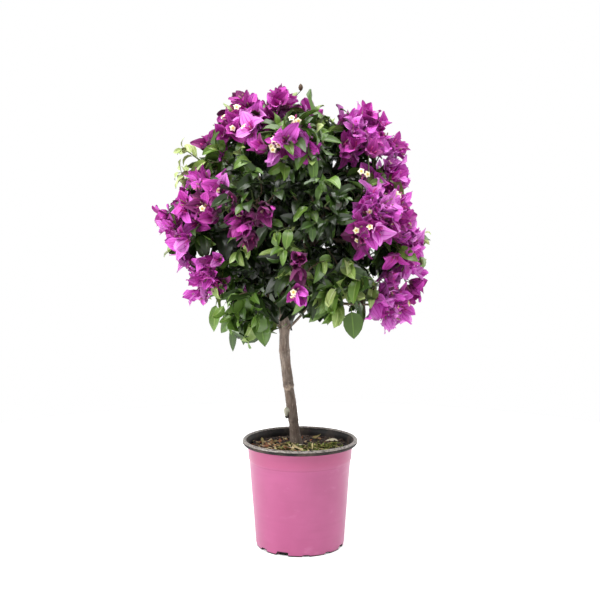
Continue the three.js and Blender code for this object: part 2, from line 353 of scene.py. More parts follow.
def pink_plastic():
    """Satin pink polypropylene: faintly cloudy, with moulding rings, a few dull rubs and a thin
    line of painted shade under the stacking step.
    """
    n = Nodes("pink_plastic")
    cloud = n.noise(16, 3)
    base = n.ramp(cloud, [(0.3, colour(153, 65, 110)), (0.7, colour(163, 74, 120))])
    base = n.mix(n.spread(n.up(), 0.125, 0.132, 0, 0.35), base, colour(158, 60, 96))
    # A thin darker line along the stacking step: painted shade under its ledge.
    line = n.math("ABSOLUTE", n.math("SUBTRACT", n.up(), 0.1268))
    base = n.mix(n.spread(line, 0.001, 0.0004, 0, 0.3), base, colour(118, 42, 78))
    rings = n.noise(130, 3, n.stretched((0.1, 0.1, 1)))
    base = n.mix(n.spread(rings, 0.5, 0.75, 0, 0.3), base, colour(146, 62, 106))
    rubbed = n.spread(n.noise(42, 6, n.stretched((1, 1, 1.6))), 0.6, 0.78, 0, 0.4)
    base = n.mix(rubbed, base, colour(180, 104, 143))
    return n.finish(base, n.spread(cloud, 0.3, 0.7, 0.3, 0.4), rings, 0.0004, 0.3)


def black_plastic():
    """The black lining: satin, dusted with dry soil."""
    n = Nodes("black_plastic")
    dust = n.spread(n.noise(45, 6), 0.45, 0.75)
    base = n.mix(dust, colour(15, 13, 13), colour(84, 73, 66))
    n.shader.inputs["Specular IOR Level"].default_value = 0.22
    return n.finish(base, n.spread(dust, 0, 1, 0.6, 0.9), n.noise(700, 2), 0.0001, 0.3)


def worn_plastic():
    """The lip's top: the black painted a soft pale grey, a painted reflection of the white
    surroundings, mottled with dust.
    """
    n = Nodes("worn_plastic")
    # The pale grey where dust is high is a painted reflection; the dust only mottles it.
    dust = n.spread(n.noise(240, 6, n.stretched((1, 1, 3))), 0.36, 0.62)
    base = n.mix(dust, colour(66, 59, 54), colour(156, 148, 141))
    return n.finish(base, n.spread(dust, 0, 1, 0.28, 0.45), n.noise(600, 3), 0.0001, 0.3)


def soil_earth():
    """Moist bark and peat compost: dark crumbs with paler fibre."""
    n = Nodes("soil_earth")
    crumbs = n.node("ShaderNodeTexVoronoi", {"Vector": n.place, "Scale": 330.0})
    tint = n.ramp(n.noise(140, 6), [(0.3, colour(34, 24, 19)), (0.62, colour(66, 46, 33)),
                                     (0.8, colour(104, 76, 50))])
    height = crumbs.outputs["Distance"]
    return n.finish(tint, 0.92, height, 0.0016, 0.9)


def bark_skin(name, dark, middle, pale, low=None):
    """Bark: long streaks down the limb, small pale pores and fine cracks. Where low is given, the
    lowest part is toned down to it, and the old leaf joint at 236 mm has a pale scar."""
    n = Nodes(name)
    long_way = n.stretched((1, 1, 0.16))
    streaks = n.noise(420, 6, long_way)
    base = n.ramp(streaks, [(0.28, dark), (0.5, middle), (0.74, pale)])
    patches = n.spread(n.noise(55, 4), 0.48, 0.7)
    base = n.mix(patches, base, n.ramp(streaks, [(0.3, middle), (0.7, pale)]))
    pores = n.node("ShaderNodeTexVoronoi", {"Vector": n.stretched((1, 1, 0.6)), "Scale": 260.0})
    spots = n.spread(pores.outputs["Distance"], 0.22, 0.1)
    base = n.mix(n.spread(spots, 0, 1, 0, 0.4), base, pale)
    if low:
        up = n.up()
        warm = n.spread(n.noise(70, 4, n.stretched((1, 1, 0.4))), 0.45, 0.7, 0, 0.45)
        base = n.mix(warm, base, colour(116, 88, 72))
        base = n.mix(n.spread(up, 0.15, 0.29, 0.8, 0), base, low)
        mottle = n.spread(n.noise(190, 5, n.stretched((1, 1, 0.55))), 0.42, 0.66, 0, 0.5)
        base = n.mix(mottle, base, colour(64, 52, 45))
        flecks = n.spread(n.noise(330, 4, n.stretched((1, 1, 0.5))), 0.6, 0.72, 0, 0.45)
        base = n.mix(flecks, base, colour(170, 154, 138))
        ragged = n.spread(n.noise(120, 4), 0.25, 0.75, -0.006, 0.006)
        away = n.math("ABSOLUTE", n.math("ADD", n.math("SUBTRACT", up, 0.2335), ragged))
        base = n.mix(n.spread(away, 0.0032, 0.001, 0, 0.5), base, colour(178, 160, 140))
        away = n.math("ABSOLUTE", n.math("ADD", n.math("SUBTRACT", up, 0.2395), ragged))
        base = n.mix(n.spread(away, 0.0016, 0.0004, 0, 0.45), base, colour(52, 42, 36))
    height = n.noise(520, 7, long_way, 0.65)
    return n.finish(base, n.spread(streaks, 0.2, 0.8, 0.75, 0.95), height, 0.0008, 0.7)


LEAF_TONES = [
    ("leaf_shade", (24, 36, 14)), ("leaf_deep", (38, 56, 20)), ("leaf_dark", (53, 78, 28)),
    ("leaf_green", (74, 103, 38)), ("leaf_fresh", (98, 130, 52)), ("leaf_light", (134, 158, 82)),
    ("leaf_young", (172, 188, 118)), ("leaf_pale", (208, 216, 170)),
]
BRACT_TONES = [
    ("bract_shade", (100, 12, 78)), ("bract_deep", (132, 26, 108)),
    ("bract_plum", (162, 31, 140)),
    ("bract_magenta", (189, 51, 168)), ("bract_bright", (207, 83, 196)),
    ("bract_pink", (221, 130, 214)),
]
PALEST_BRACT = len(BRACT_TONES) - 1
BUD_TONES = [("bud_green", (164, 162, 144)), ("bud_tip", (38, 34, 28))]
TUBE_TONES = [("tube_pink", (190, 66, 138)), ("tube_green", (150, 120, 110))]
STAR_TONES = [("star_cream", (246, 238, 206)), ("star_eye", (222, 194, 92))]
SOIL_TONES = [
    ("chip_black", (32, 25, 22)), ("chip_brown", (64, 47, 37)), ("chip_red", (150, 92, 60)),
    ("chip_tan", (158, 122, 88)), ("chip_straw", (182, 160, 124)),
]
DRY_TONES = [
    ("moss_dark", (70, 82, 30)), ("moss_green", (112, 126, 52)), ("moss_yellow", (158, 158, 84)),
    ("dry_olive", (132, 118, 72)), ("dry_straw", (196, 178, 132)), ("dry_cream", (226, 218, 190)),
]


def tones(table, roughness, sheen=0.0):
    """A plain finish for each row of a table of names and colours."""
    return [plain(name, rgb, roughness, sheen) for name, rgb in table]


# ---- the pot ----

POT_SIDES = 144
RIM, TOP = POT_HIGH[0], POT_HIGH[2]
FOOT = RIM - 20              # the foot's radius
STEP = 127.0                 # the height of the stacking step
NECK = TOP - 8               # the height where the wall meets the lip
WALL = 1.6                   # how thick the wall and the floor are
NOTCHES = 12
NOTCH_FIRST = -83.4          # the bearing of the notch nearest the front, in degrees
NOTCH_DEPTH = 5.5
NOTCH_HALF_WIDTHS = np.array([4.4, 4.2, 6.2, 5.0, 5.8, 8.2])   # of six in a row, and again
NOTCH_HEIGHTS = np.array([3.6, 3.8, 5.6, 4.2, 5.0, 6.2])
NOTCH_TURN = 2 * np.pi / NOTCHES


def lower_wall(z):
    """The outside radius below the step: a straight taper from the foot."""
    return FOOT + (z / STEP) * (RIM - 10.4 - FOOT)


def upper_wall(z):
    """The outside radius above the step: a steeper taper."""
    return RIM - 9 + (z - STEP) / (NECK - STEP) * 1.2


def pot_profile():
    """The pot's outline from the middle of its underside, round the foot, up the wall, over the
    lip, which is an arc, and down inside to the middle of the floor. Each row is a radius, a height
    and 0 for the pink outside, 1 for the black lining or 2 for the lip's top, painted pale grey as
    a reflection and mottled with dust."""
    # The foot's lowest 2 to 3 mm are black: the black lining, and painted shade for the dark
    # contact line along the bottom edge.
    rows = [(0, 0, 0), (20, 0, 0), (40, 0, 0), (FOOT - 9, 0, 0), (FOOT - 5.7, 0, 0),
            (FOOT - NOTCH_DEPTH, 0.02, 1), (FOOT - 2.6, 0.02, 1), (FOOT - 1.1, 0.3, 1),
            (FOOT - 0.3, 0.9, 1), (FOOT - 0.05, 2.2, 1), (FOOT + 0.02, 2.9, 0)]
    rows += [(lower_wall(z), z, 0) for z in (4.4, 6.5, *np.linspace(8, STEP - 2.4, 26))]
    rows += [(lower_wall(STEP - 1) + 0.05, STEP - 1, 0), (lower_wall(STEP) + 0.45, STEP + 0.6, 0),
             (RIM - 9.25, STEP + 2.6, 0), (RIM - 9.0, STEP + 4, 0)]
    rows += [(upper_wall(z), z, 0) for z in np.linspace(STEP + 6, NECK - 0.8, 5)]
    rows += [(RIM - 7.4, NECK, 0), (RIM - 4.6, NECK + 0.1, 1), (RIM - 2.0, NECK + 0.4, 1)]
    # The upper half of the lip's arc takes finish 2: the lip's painted reflection.
    rows += [(RIM - 3.0 + 2.95 * math.cos(a), TOP - 3.7 + 3.65 * math.sin(a), 1 + (a > 0.0))
             for a in np.linspace(-0.42, 0.86, 14) * np.pi]
    rows += [(RIM - 8.6, TOP - 4.6, 1), (RIM - 9.6, TOP - 8, 1)]
    rows += [(upper_wall(z) - WALL, z, 1) for z in np.linspace(NECK - 2, STEP + 2, 5)]
    rows += [(lower_wall(STEP) - WALL, STEP - 1, 1)]
    rows += [(lower_wall(z) - WALL, z, 1) for z in (90, 40, 5)]
    return np.array(rows + [(FOOT - 4.6, 1.7, 1), (30, WALL, 1), (0, WALL, 1)])


def make_pot(pink, black, lip_sheen):
    """Turns the profile round the upright axis. The wall is a touch out of round, and the foot is
    lifted into a low arch at each notch."""
    profile = pot_profile()
    angle = np.arange(POT_SIDES) / POT_SIDES * 2 * np.pi
    radius, height = profile[:, 0][:, None], profile[:, 1][:, None]
    first = math.radians(NOTCH_FIRST)
    turn = (angle - first + NOTCH_TURN / 2) % NOTCH_TURN - NOTCH_TURN / 2
    which = np.round((angle - first) / NOTCH_TURN).astype(int) % NOTCHES % 6
    half, top = NOTCH_HALF_WIDTHS[which] / FOOT, NOTCH_HEIGHTS[which]
    arch = 1 - smooth(np.abs(turn), half * 0.8, half * 1.12)
    lifted = (radius > FOOT - NOTCH_DEPTH - 0.01) & (height < top)
    z = height + lifted * (top - height) * arch * 0.98
    round_off = 1 + 0.0018 * np.sin(2 * angle + 0.6) + 0.0010 * np.sin(5 * angle)
    tall = smooth(height, 10, 60) * (1 - smooth(height, 120, 126))
    dents = tall * (0.13 * np.sin(3 * angle + height / 23) + 0.05 * np.sin(height / 2.4))
    r = radius * np.where(radius < RIM - 9, round_off, 1) + dents
    points = np.stack(np.broadcast_arrays(r * np.cos(angle), r * np.sin(angle), z), axis=-1)
    faces = grid_faces(len(profile), POT_SIDES, around=True)
    row = np.repeat(np.arange(len(profile) - 1), POT_SIDES)
    column = np.tile(np.arange(POT_SIDES), len(profile) - 1)
    under = (profile[row, 0] > FOOT - 7) & (row < len(profile) // 2)
    # Faces inside a notch take finish 3: the lining's black made darker and fully matte, painted
    # shade in the hollow of the notch.
    inside_notch = (arch[column] > 0.3) & under & (profile[row + 1, 1] < top[column] + 0.4)
    finish = np.where(inside_notch, 3, np.minimum(profile[row, 2], profile[row + 1, 2]))
    piece = Piece()
    piece.add(points, faces, finish)
    notch_shade = plain("notch_black", (6, 5, 5), 1.0)
    pot = piece.make("nursery_pot", [pink, black, lip_sheen, notch_shade], ["pot"])
    close_poles(pot)


def close_poles(piece):
    """Merges the points that meet at a pole."""
    shell = bmesh.new()
    shell.from_mesh(piece.data)
    bmesh.ops.remove_doubles(shell, verts=shell.verts, dist=2e-6)
    shell.to_mesh(piece.data)
    shell.free()


# ---- the soil ----

SOIL_UNDERSIDE = 118         # out of sight, below the chips
CHIPS = 620


def soil_surface(x, y):
    """The soil's height: highest round the stem and lower at the edge, in crumbs and lumps."""
    r = np.hypot(x, y)
    edge = SOIL_HIGH[0]
    flat = np.stack([x, y], axis=-1)
    fall = SOIL_HIGH[2] - 1.2 - 2.6 * smooth(r, 13, edge)
    lumps = 0.9 * ripple(flat, 3, 9, 26) + 0.55 * ripple(flat, 4, 12, 9)
    crumbs = 0.34 * ripple(flat, 5, 16, 3.4)
    return fall + (lumps + crumbs) * smooth(r, 4, 12) * (1 - smooth(r, edge - 1, edge))


def make_soil(earth):
    """A disc of rings from the middle to the pot's wall, then down the wall and across below."""
    rings, sides = 64, 150
    edge = SOIL_HIGH[0] + 0.1
    angle = np.arange(sides) / sides * 2 * np.pi
    r = np.concatenate([np.linspace(0, 1, rings) ** 0.8 * edge, [edge - 3.5, 40.0, 0.0]])[:, None]
    x, y = r * np.cos(angle), r * np.sin(angle)
    z = soil_surface(x, y)
    z[-3], z[-2:] = SOIL_UNDERSIDE + 10, SOIL_UNDERSIDE
    piece = Piece()
    points = np.stack([x, y, z], axis=-1)
    piece.add(points, grid_faces(rings + 3, sides, around=True)[:, ::-1], 0)
    close_poles(piece.make("soil_bed", [earth], ["soil"]))


def make_chips(materials):
    """Bark chips: six-sided lumps with uneven corners, lying at all angles on the soil, and
    redder on the left."""
    dice = np.random.default_rng(SEED + 1)
    count = CHIPS
    r = np.sqrt(dice.uniform(0.012, 1, count)) * (SOIL_HIGH[0] - 2.5)
    angle = dice.uniform(0, 2 * np.pi, count)
    grade = dice.choice([0.7, 1.2, 2.1], (count, 1), p=[0.5, 0.34, 0.16])
    size = dice.uniform(0.5, 1, (count, 3)) * [5.4, 3.1, 1.3] * grade
    cube = np.array([[x, y, z] for z in (-1, 1) for y in (-1, 1) for x in (-1, 1)]) / 2
    local = cube[None] * size[:, None] * dice.uniform(0.55, 1.2, (count, 8, 3))
    axis = unit(np.stack([*dice.normal(size=(2, count)), dice.normal(0, 0.28, count)], axis=-1))
    side, normal = across(axis)
    centre = np.stack([r * np.cos(angle), r * np.sin(angle), np.zeros(count)], axis=-1)
    centre[:, 2] = soil_surface(centre[:, 0], centre[:, 1]) + 0.25 * size[:, 2]
    turned = (local[..., :1] * axis[:, None] + local[..., 1:2] * side[:, None]
              + local[..., 2:] * normal[:, None])
    quads = np.array([[0, 2, 3, 1], [4, 5, 7, 6], [0, 1, 5, 4], [2, 6, 7, 3], [0, 4, 6, 2],
                      [1, 3, 7, 5]])
    faces = (quads[None] + np.arange(count)[:, None, None] * 8).reshape(-1, 4)
    left = np.cos(angle - math.radians(220)) > 0.3
    tone = np.where(left, dice.choice(5, count, p=[0.2, 0.18, 0.36, 0.2, 0.06]),
                    dice.choice(5, count, p=[0.44, 0.36, 0.07, 0.09, 0.04]))
    piece = Piece()
    piece.add(turned + centre[:, None], faces, np.repeat(tone, 6))
    piece.make("bark_chips", materials, shade=False)


LITTER = 170                 # loose shreds of leaf and moss
# Where moss grows and where old leaves lie on the soil: a bearing in degrees and how far out it
# is, then for moss how wide the patch is and how many blades, for a leaf its length and tone.
MOSS = [(205, 15, 7, 70), (250, 17, 6, 50), (318, 26, 8, 60), (345, 38, 10, 90), (12, 52, 9, 50),
        (300, 44, 9, 50), (225, 40, 6, 20)]
OLD_LEAVES = [(262, 31, 20, 4), (292, 30, 13, 3), (33, 57, 20, 5), (352, 44, 18, 4),
              (240, 24, 15, 3), (205, 46, 16, 4), (330, 36, 15, 3), (215, 58, 14, 4),
              (60, 50, 18, 3), (120, 48, 19, 4), (165, 40, 16, 3), (300, 50, 14, 3)]


def on_soil(bearing, away, lift):
    """Points above the soil, at bearings in degrees and distances from the pot's middle."""
    turn = np.radians(bearing)
    x, y = away * np.cos(turn), away * np.sin(turn)
    return np.stack([x, y, soil_surface(x, y) + lift], axis=-1)


def make_litter(materials):
    """Tufts of moss, as tiny upright blades, then loose shreds, greener in front and to the right,
    and old leaves that lie curled on the soil."""
    dice = np.random.default_rng(SEED + 2)
    piece = Piece()
    for bearing, away, wide, count in MOSS:
        feet = on_soil(np.full(count, bearing), np.full(count, away), 0)
        feet[:, :2] += dice.normal(0, wide * 0.45, (count, 2))
        feet[:, 2] = soil_surface(feet[:, 0], feet[:, 1])
        axis = unit(np.stack([*dice.normal(0, 0.75, (2, count)), np.ones(count)], axis=-1))
        size = dice.uniform(4, 8.5, count)
        add_blades(piece, blades(dice, feet, axis, size, 0.34, (0.3, 1.6), dice.choice(3, count)),
                   LITTER_ROWS, LITTER_COLUMNS, leaf_outline, one_tone)
    count = LITTER
    green = dice.random(count) < 0.6
    bearing = np.where(green, dice.normal(318, 42, count), dice.normal(215, 34, count))
    feet = on_soil(bearing, dice.uniform(13, 66, count), 1.2)
    flat, rise = dice.normal(size=(2, count)), dice.uniform(-0.1, 0.35, count)
    axis = unit(np.stack([*flat, rise], axis=-1))
    size = dice.uniform(6, 14, count)
    tone = np.where(np.cos(np.radians(bearing - 318)) > 0.2,
                    dice.choice([0, 1, 2, 3, 4], count, p=[0.24, 0.26, 0.14, 0.18, 0.18]),
                    dice.choice([3, 4, 5], count, p=[0.6, 0.3, 0.1]))
    add_blades(piece, blades(dice, feet, axis, size, 0.34, (-0.8, 0.8), tone),
               LITTER_ROWS, LITTER_COLUMNS, leaf_outline, one_tone)
    for bearing, away, size, tone in OLD_LEAVES:
        foot = on_soil(np.array([bearing]), np.array([away]), 1.6)
        flat = dice.normal(0, 1, 2)
        axis = unit(np.array([[*unit(flat), 0.05]]))
        foot -= axis * size * 0.5
        add_blades(piece, blades(dice, foot, axis, np.array([size]), 0.36, (-0.9, 0.3), [tone]),
                   LEAF_ROWS, LEAF_COLUMNS, leaf_outline, one_tone)
    piece.make("moss_and_old_leaves", materials)


def blades(dice, foot, axis, length, width, bend, tone):
    """Blades that face upwards, as add_blades takes them."""
    count = len(foot)
    normal = unit(UP - axis * axis[:, 2:] + 0.14 * dice.normal(size=(count, 3)))
    normal = unit(normal - (normal * axis).sum(axis=1, keepdims=True) * axis)
    return {"foot": foot, "axis": axis, "normal": normal, "length": length,
            "width": length * width / 2, "bend": dice.uniform(*bend, count),
            "fold": dice.uniform(0.2, 0.7, count), "ruffle": dice.uniform(0, 0.06, count),
            "phase": dice.uniform(0, 6.28, count), "tone": np.array(tone),
            "twist": np.zeros(count)}


LITTER_ROWS = [0.0, 0.3, 0.65, 1.0]
LITTER_COLUMNS = [-1, 0, 1]


def one_tone(tone, rows, columns):
    """The whole blade in its own tone."""
    return np.broadcast_to(tone, (len(tone), rows, columns))


# ---- the stem and the boughs ----


def stem_rings():
    """The middle and the mean radius of each level ring of the CAD stem, lowest first."""
    points = corners("stem")
    levels = np.unique(points[:, 2].round(1))
    middles, radii = [], []
    for level in levels:
        ring = points[np.abs(points[:, 2] - level) < 0.2]
        middle = ring.mean(axis=0)
        reach = np.linalg.norm(ring - middle, axis=1)
        middles.append(middle)
        radii.append(reach[reach > 1].mean())
    return np.array(middles), np.array(radii)


STEM_MIDDLES, STEM_RADII = stem_rings()


def stem_at(z):
    """The stem's middle at a height."""
    return np.array([np.interp(z, STEM_MIDDLES[:, 2], STEM_MIDDLES[:, k]) for k in range(3)])


def bark_tube(piece, path, radii, sides, relief, finish, seed):
    """One limb as a grid round and along its path: its radius is broken by long ridges and fine
    cracks, of the height that relief says."""
    steps, ring = len(path), rings_round(path, sides)
    length = lengths_along(path)[:, None, None]
    rough = 0
    for stretch, share, number, reach in ((5, 1, seed, 4.2), (1.6, 0.5, seed + 1, 1.9)):
        along = np.broadcast_to(length / stretch, (steps, sides, 1))
        place = np.concatenate([ring * 7, along], axis=2)
        rough = rough + share * ripple(place, number, 14, reach)
    points = path[:, None] + ring * (radii[:, None] + relief * rough)[..., None]
    piece.add(points, grid_faces(steps, sides, around=True), finish)
    last = piece.count - sides
    piece.faces.append((np.arange(sides)[::-1] + last - (steps - 1) * sides).tolist())
    piece.faces.append((np.arange(sides) + last).tolist())
    piece.finishes.append(np.full(2, finish))


# The low rings of old leaf joints: how far up the bare stem each is, as a share of its length,
# how far it stands out and how wide it is.
NODE_RINGS = [(0.42, 0.75, 2.6), (0.17, 0.45, 2.2), (0.67, 0.55, 2.4), (0.86, 0.5, 2.0)]


def make_stem(bark, buds):
    """The bare stem, with the low rings that old leaf joints left, a pale scar and a bud stub."""
    steps = 190
    path = curve_through(STEM_MIDDLES, steps)
    share = np.linspace(0, 1, steps)
    radii = np.interp(path[:, 2], STEM_MIDDLES[:, 2], STEM_RADII) + 0.4
    height = path[:, 2] - path[0, 2]
    total = height[-1]
    for place, rise, width in NODE_RINGS:
        away = height - place * total
        radii = radii + rise * np.exp(-((away / width) ** 2))
        radii = radii - 0.35 * rise * np.exp(-(((away + 4) / width) ** 2))
    radii = radii - 0.3 * (1 - smooth(height, 0, 22)) + 0.25 * np.sin(share * 31)
    path[0, 2] -= 1.5
    piece = Piece()
    bark_tube(piece, path, radii, 72, 0.2, 0, 21)
    foot = stem_at(path[0, 2] + 0.25 * total) - [4.0, 2.5, 0]
    stub = curve_through([foot, foot + [-4.0, -1.6, 1.4], foot + [-4.4, -2.2, -9.0]], 14)
    swell = 4.2 * np.sqrt(np.clip(1 - np.linspace(-0.35, 1, 14) ** 2, 0.02, 1))
    add_tubes(piece, stub[None], swell[None], 12, 1)
    tip = stub[-3:] + [0.6, 0.2, -2.6]
    add_tubes(piece, tip[None], np.array([[2.9, 2.6, 0.7]]), 10, 2)
    piece.make("bare_stem", [bark, *buds], ["stem"])


def bough_line(node):
    """The middle line and radii of a CAD bough: a smooth fit of its corners over their distance
    from where it leaves the stem."""
    points = corners(node)
    to_stem = np.array([np.linalg.norm(p - stem_at(p[2])) for p in points])
    nearest = points[np.argmin(to_stem)]
    root = stem_at(nearest[2] - 4)
    reach = np.linalg.norm(points - root, axis=1)
    fits = [np.polyfit(reach, points[:, k], 4) for k in range(3)]
    along = np.linspace(reach.min(), reach.max(), 16)
    line = np.stack([np.polyval(fit, along) for fit in fits], axis=-1)
    middles = np.stack([np.polyval(fit, reach) for fit in fits], axis=-1)
    width = np.polyfit(reach, np.linalg.norm(points - middles, axis=1), 1)
    return np.concatenate([[root], line]), np.polyval(width, np.concatenate([[0], along]))


# ---- the branching of the head ----


class Mass:
    """One mass of foliage: its middle, its way out from the head's middle and how far it reaches
    in any direction, from the corners of its CAD solid."""

    def __init__(self, name):
        points = corners(name)
        self.name = name
        self.middle = points.mean(axis=0)
        self.out = unit(self.middle - HEAD)
        self.ways = unit(points - self.middle)
        self.reaches = np.linalg.norm(points - self.middle, axis=1)

    def limb_end(self):
        """Where its main limb ends: nearly halfway from its middle to its outer surface."""
        return self.middle + self.out * self.reach(self.out[None])[0] * 0.45

    def reach(self, ways):
        """How far the solid reaches from its middle each way, blended from the nearest corners."""
        near = np.exp(70 * (ways @ self.ways.T - 1))
        return (near * self.reaches).sum(axis=-1) / near.sum(axis=-1)


class Skeleton:
    """The points of all limbs and twigs that new twigs can grow from."""

    def __init__(self):
        self.points, self.ways, self.depths = np.empty((0, 3)), np.empty((0, 3)), np.empty(0)

    def add(self, path, depth):
        """Adds a path whose foot is depth along its branch."""
        self.points = np.concatenate([self.points, path])
        self.ways = np.concatenate([self.ways, unit(np.gradient(path, axis=0))])
        self.depths = np.concatenate([self.depths, depth + lengths_along(path)])

    def root_for(self, target):
        """The best point to branch from: near but over 14 mm away, not far along its branch
        already, and heading that way."""
        to = target - self.points
        away = np.linalg.norm(to, axis=1)
        turn = 1 - (unit(to) * self.ways).sum(axis=1)
        return int(np.argmin(away + 0.25 * self.depths + 13 * turn + 60 * (away < 14)))

    def twig_to(self, target, arch):
        """A twig's path from the best point to its target, and how deep it starts."""
        root = self.root_for(target)
        return arching(self.points[root], self.ways[root], target, arch), self.depths[root]


def arching(start, way, target, arch, steps=8):
    """A limb's path: a cubic that leaves along way and comes down onto its target from above by
    arch, a share of its length."""
    away = np.linalg.norm(target - start)
    to = unit(target - start)
    one = start + unit(0.55 * way + 0.6 * to) * away * 0.36
    two = target - (to - UP * arch) * away * 0.3
    t = np.linspace(0, 1, steps)[:, None]
    return ((1 - t) ** 3 * start + 3 * t * (1 - t) ** 2 * one + 3 * t**2 * (1 - t) * two
            + t**3 * target)


def spread_ways(count, dice):
    """Directions spread evenly over a ball: a spiral from pole to pole, turned at random."""
    z = 1 - 2 * (np.arange(count) + 0.5) / count
    turn = np.arange(count) * math.pi * (3 - math.sqrt(5)) + dice.uniform(0, 2 * np.pi)
    r = np.sqrt(1 - z * z)
    ways = np.stack([r * np.cos(turn), r * np.sin(turn), z], axis=-1)
    mixed, _ = np.linalg.qr(dice.normal(size=(3, 3)))
    return ways @ mixed


class Spray:
    """A twig with what it carries: its path, its mass, how far out it is, its kind, its leaves'
    tone and, where they are set, its blooms, how many show a star, and its leaf's width."""

    def __init__(self, path, mass, outness, kind, tone, blooms=0, stars=0, width=0):
        self.path, self.mass, self.outness, self.kind = path, mass, outness, kind
        self.tone, self.blooms, self.stars, self.width = tone, blooms, stars, width


# Each mass's leaf tone, its share of twigs that bloom, and its share of the usual twigs. The darker
# leaf tones of the masses in the middle front, leaves_upper_front, leaves_front_left and
# blooms_front_right, are painted shade.
HABITS = {
    "blooms_top_left": (3, 0.92, 1.2), "blooms_top_right": (3, 0.72, 0.95),
    "leaves_top_front": (3, 0.10, 1.0), "leaves_top_back": (3, 0.30, 1.0),
    "leaves_upper_left": (4, 0.28, 0.9), "leaves_upper_front": (1, 0.0, 0.9),
    "leaves_front_left": (1, 0.04, 1.0), "blooms_shoulder_right": (3, 0.80, 1.0),
    "blooms_front_right": (2, 0.70, 1.0), "blooms_left": (3, 0.95, 1.2),
    "blooms_low_left": (4, 0.62, 0.85), "blooms_right": (3, 0.85, 1.05),
    "blooms_low_right": (3, 0.72, 0.9), "leaves_low_front_left": (3, 0.0, 1.25),
    "leaves_low_front": (3, 0.0, 0.9), "leaves_low_front_right": (4, 0.0, 1.0),
    "blooms_back_right": (3, 0.70, 1.1), "blooms_back": (3, 0.62, 1.1),
    "blooms_back_left": (3, 0.70, 1.1), "leaves_low_back_right": (4, 0.12, 1.1),
    "leaves_low_back_left": (4, 0.12, 1.1),
}
# How many tones paler its bracts are than the usual ones, which is painted light: paler on the
# right and low left of the head, deeper at the top left; and its leaves' size as a share.
BRACT_PAINTED_LIGHT = {"blooms_top_left": -1, "blooms_top_right": 2, "blooms_shoulder_right": 1,
              "blooms_right": 1, "blooms_low_right": 1, "blooms_low_left": 1}
LEAF_SCALE = {"leaves_front_left": 0.84, "leaves_upper_front": 0.84, "blooms_front_right": 0.84,
              "leaves_low_front_left": 1.1, "leaves_low_front_right": 1.1}


def nearest_mass(masses, point):
    """The mass whose middle is nearest to a point."""
    return min(masses.values(), key=lambda mass: np.linalg.norm(mass.middle - point))


BOUGH_STEPS, LIMB_STEPS = 74, 30
FORKS = slice(20, 60)        # the steps of a bough that side limbs branch from


def grow_limbs(masses, wood):
    """Carries each bough on into its nearest mass, and branches a limb to every mass that has
    none. Returns each mass's skeleton."""
    skeletons, lines = {}, []
    for node in BOUGHS:
        line, radii = bough_line(node)
        mass = nearest_mass(masses, line[-1])
        way = unit(line[-1] - line[-3])
        onward = arching(line[-1], way, mass.limb_end(), 0.1, 12)[1:]
        path = curve_through(np.concatenate([line, onward]), BOUGH_STEPS)
        share = np.linspace(0, 1, BOUGH_STEPS)
        thick = np.interp(share, [0, 0.05, 0.12, 0.6, 1], [1.5, 1.25, 1.0, 0.72, 0.36]) * radii[0]
        wood.append((node, path, thick))
        lines.append(path)
        skeletons.setdefault(mass.name, Skeleton()).add(path[BOUGH_STEPS // 2 + 1:], 0)
    for mass in [mass for mass in masses.values() if mass.name not in skeletons]:
        away = np.linalg.norm(np.array(lines)[:, FORKS] - mass.middle, axis=2)
        closest = away.min(axis=1).argmin()
        line, near = lines[closest], away[closest]
        root = FORKS.start + int(np.argmin(near + 0.9 * np.arange(len(near))))
        way = unit(line[root + 1] - line[root])
        path = arching(line[root], way, mass.limb_end(), 0.15, LIMB_STEPS)
        thick = np.linspace(*LIMB_RADIUS, LIMB_STEPS)
        wood.append(("", path, thick))
        skeletons[mass.name] = Skeleton()
        skeletons[mass.name].add(path[LIMB_STEPS // 3:], 0)
    return skeletons


def grow_sprays(masses, skeletons):
    """Grows each mass's twigs: targets are spread through the outer part of its solid, and each
    twig branches from the best point that has grown so far."""
    sprays = []
    for number, mass in enumerate(masses.values()):
        dice = np.random.default_rng(SEED * 100 + number)
        tone, share, fullness = HABITS[mass.name]
        size = mass.reaches.mean() / 52
        count = int(TWIGS_PER_MASS * fullness * size**2)
        ways = spread_ways(count, dice)
        ways = ways[ways @ mass.out > -0.55]
        inset = dice.choice([1.0, 0.8, 0.55], len(ways), p=[0.6, 0.26, 0.14])
        outness = (unit(mass.middle + ways * 40 - HEAD) * ways).sum(axis=1) * inset
        blooms = dice.random(len(ways)) < share * smooth(outness, 0.05, 0.5)
        margin = np.where(blooms, dice.uniform(*BLOOM_MARGIN, len(ways)),
                          dice.uniform(*LEAF_MARGIN, len(ways)))
        margin = margin + 20 * (ways[:, 2] < -0.3) * (mass.out[2] < -0.3)
        reach = np.maximum(mass.reach(ways) - margin, 12) * inset
        targets = mass.middle + ways * reach[:, None]
        order = np.argsort(np.linalg.norm(targets - mass.middle, axis=1))
        for i in order:
            skeleton = skeletons[mass.name]
            path, depth = skeleton.twig_to(targets[i], 0.25 if mass.out[2] > -0.3 else 0.5)
            skeleton.add(path[2:], depth)
            kind = "bloom" if blooms[i] else "leafy"
            fresh = tone + (1 if outness[i] > 0.7 and dice.random() < 0.35 else 0)
            # Leaves deeper inside the head are one or two tones darker: painted shade.
            inner_shade = 2 if outness[i] < 0.2 else (1 if outness[i] < 0.5 else 0)
            sprays.append(Spray(path, mass, outness[i], kind, max(0, fresh - inner_shade)))
    return sprays


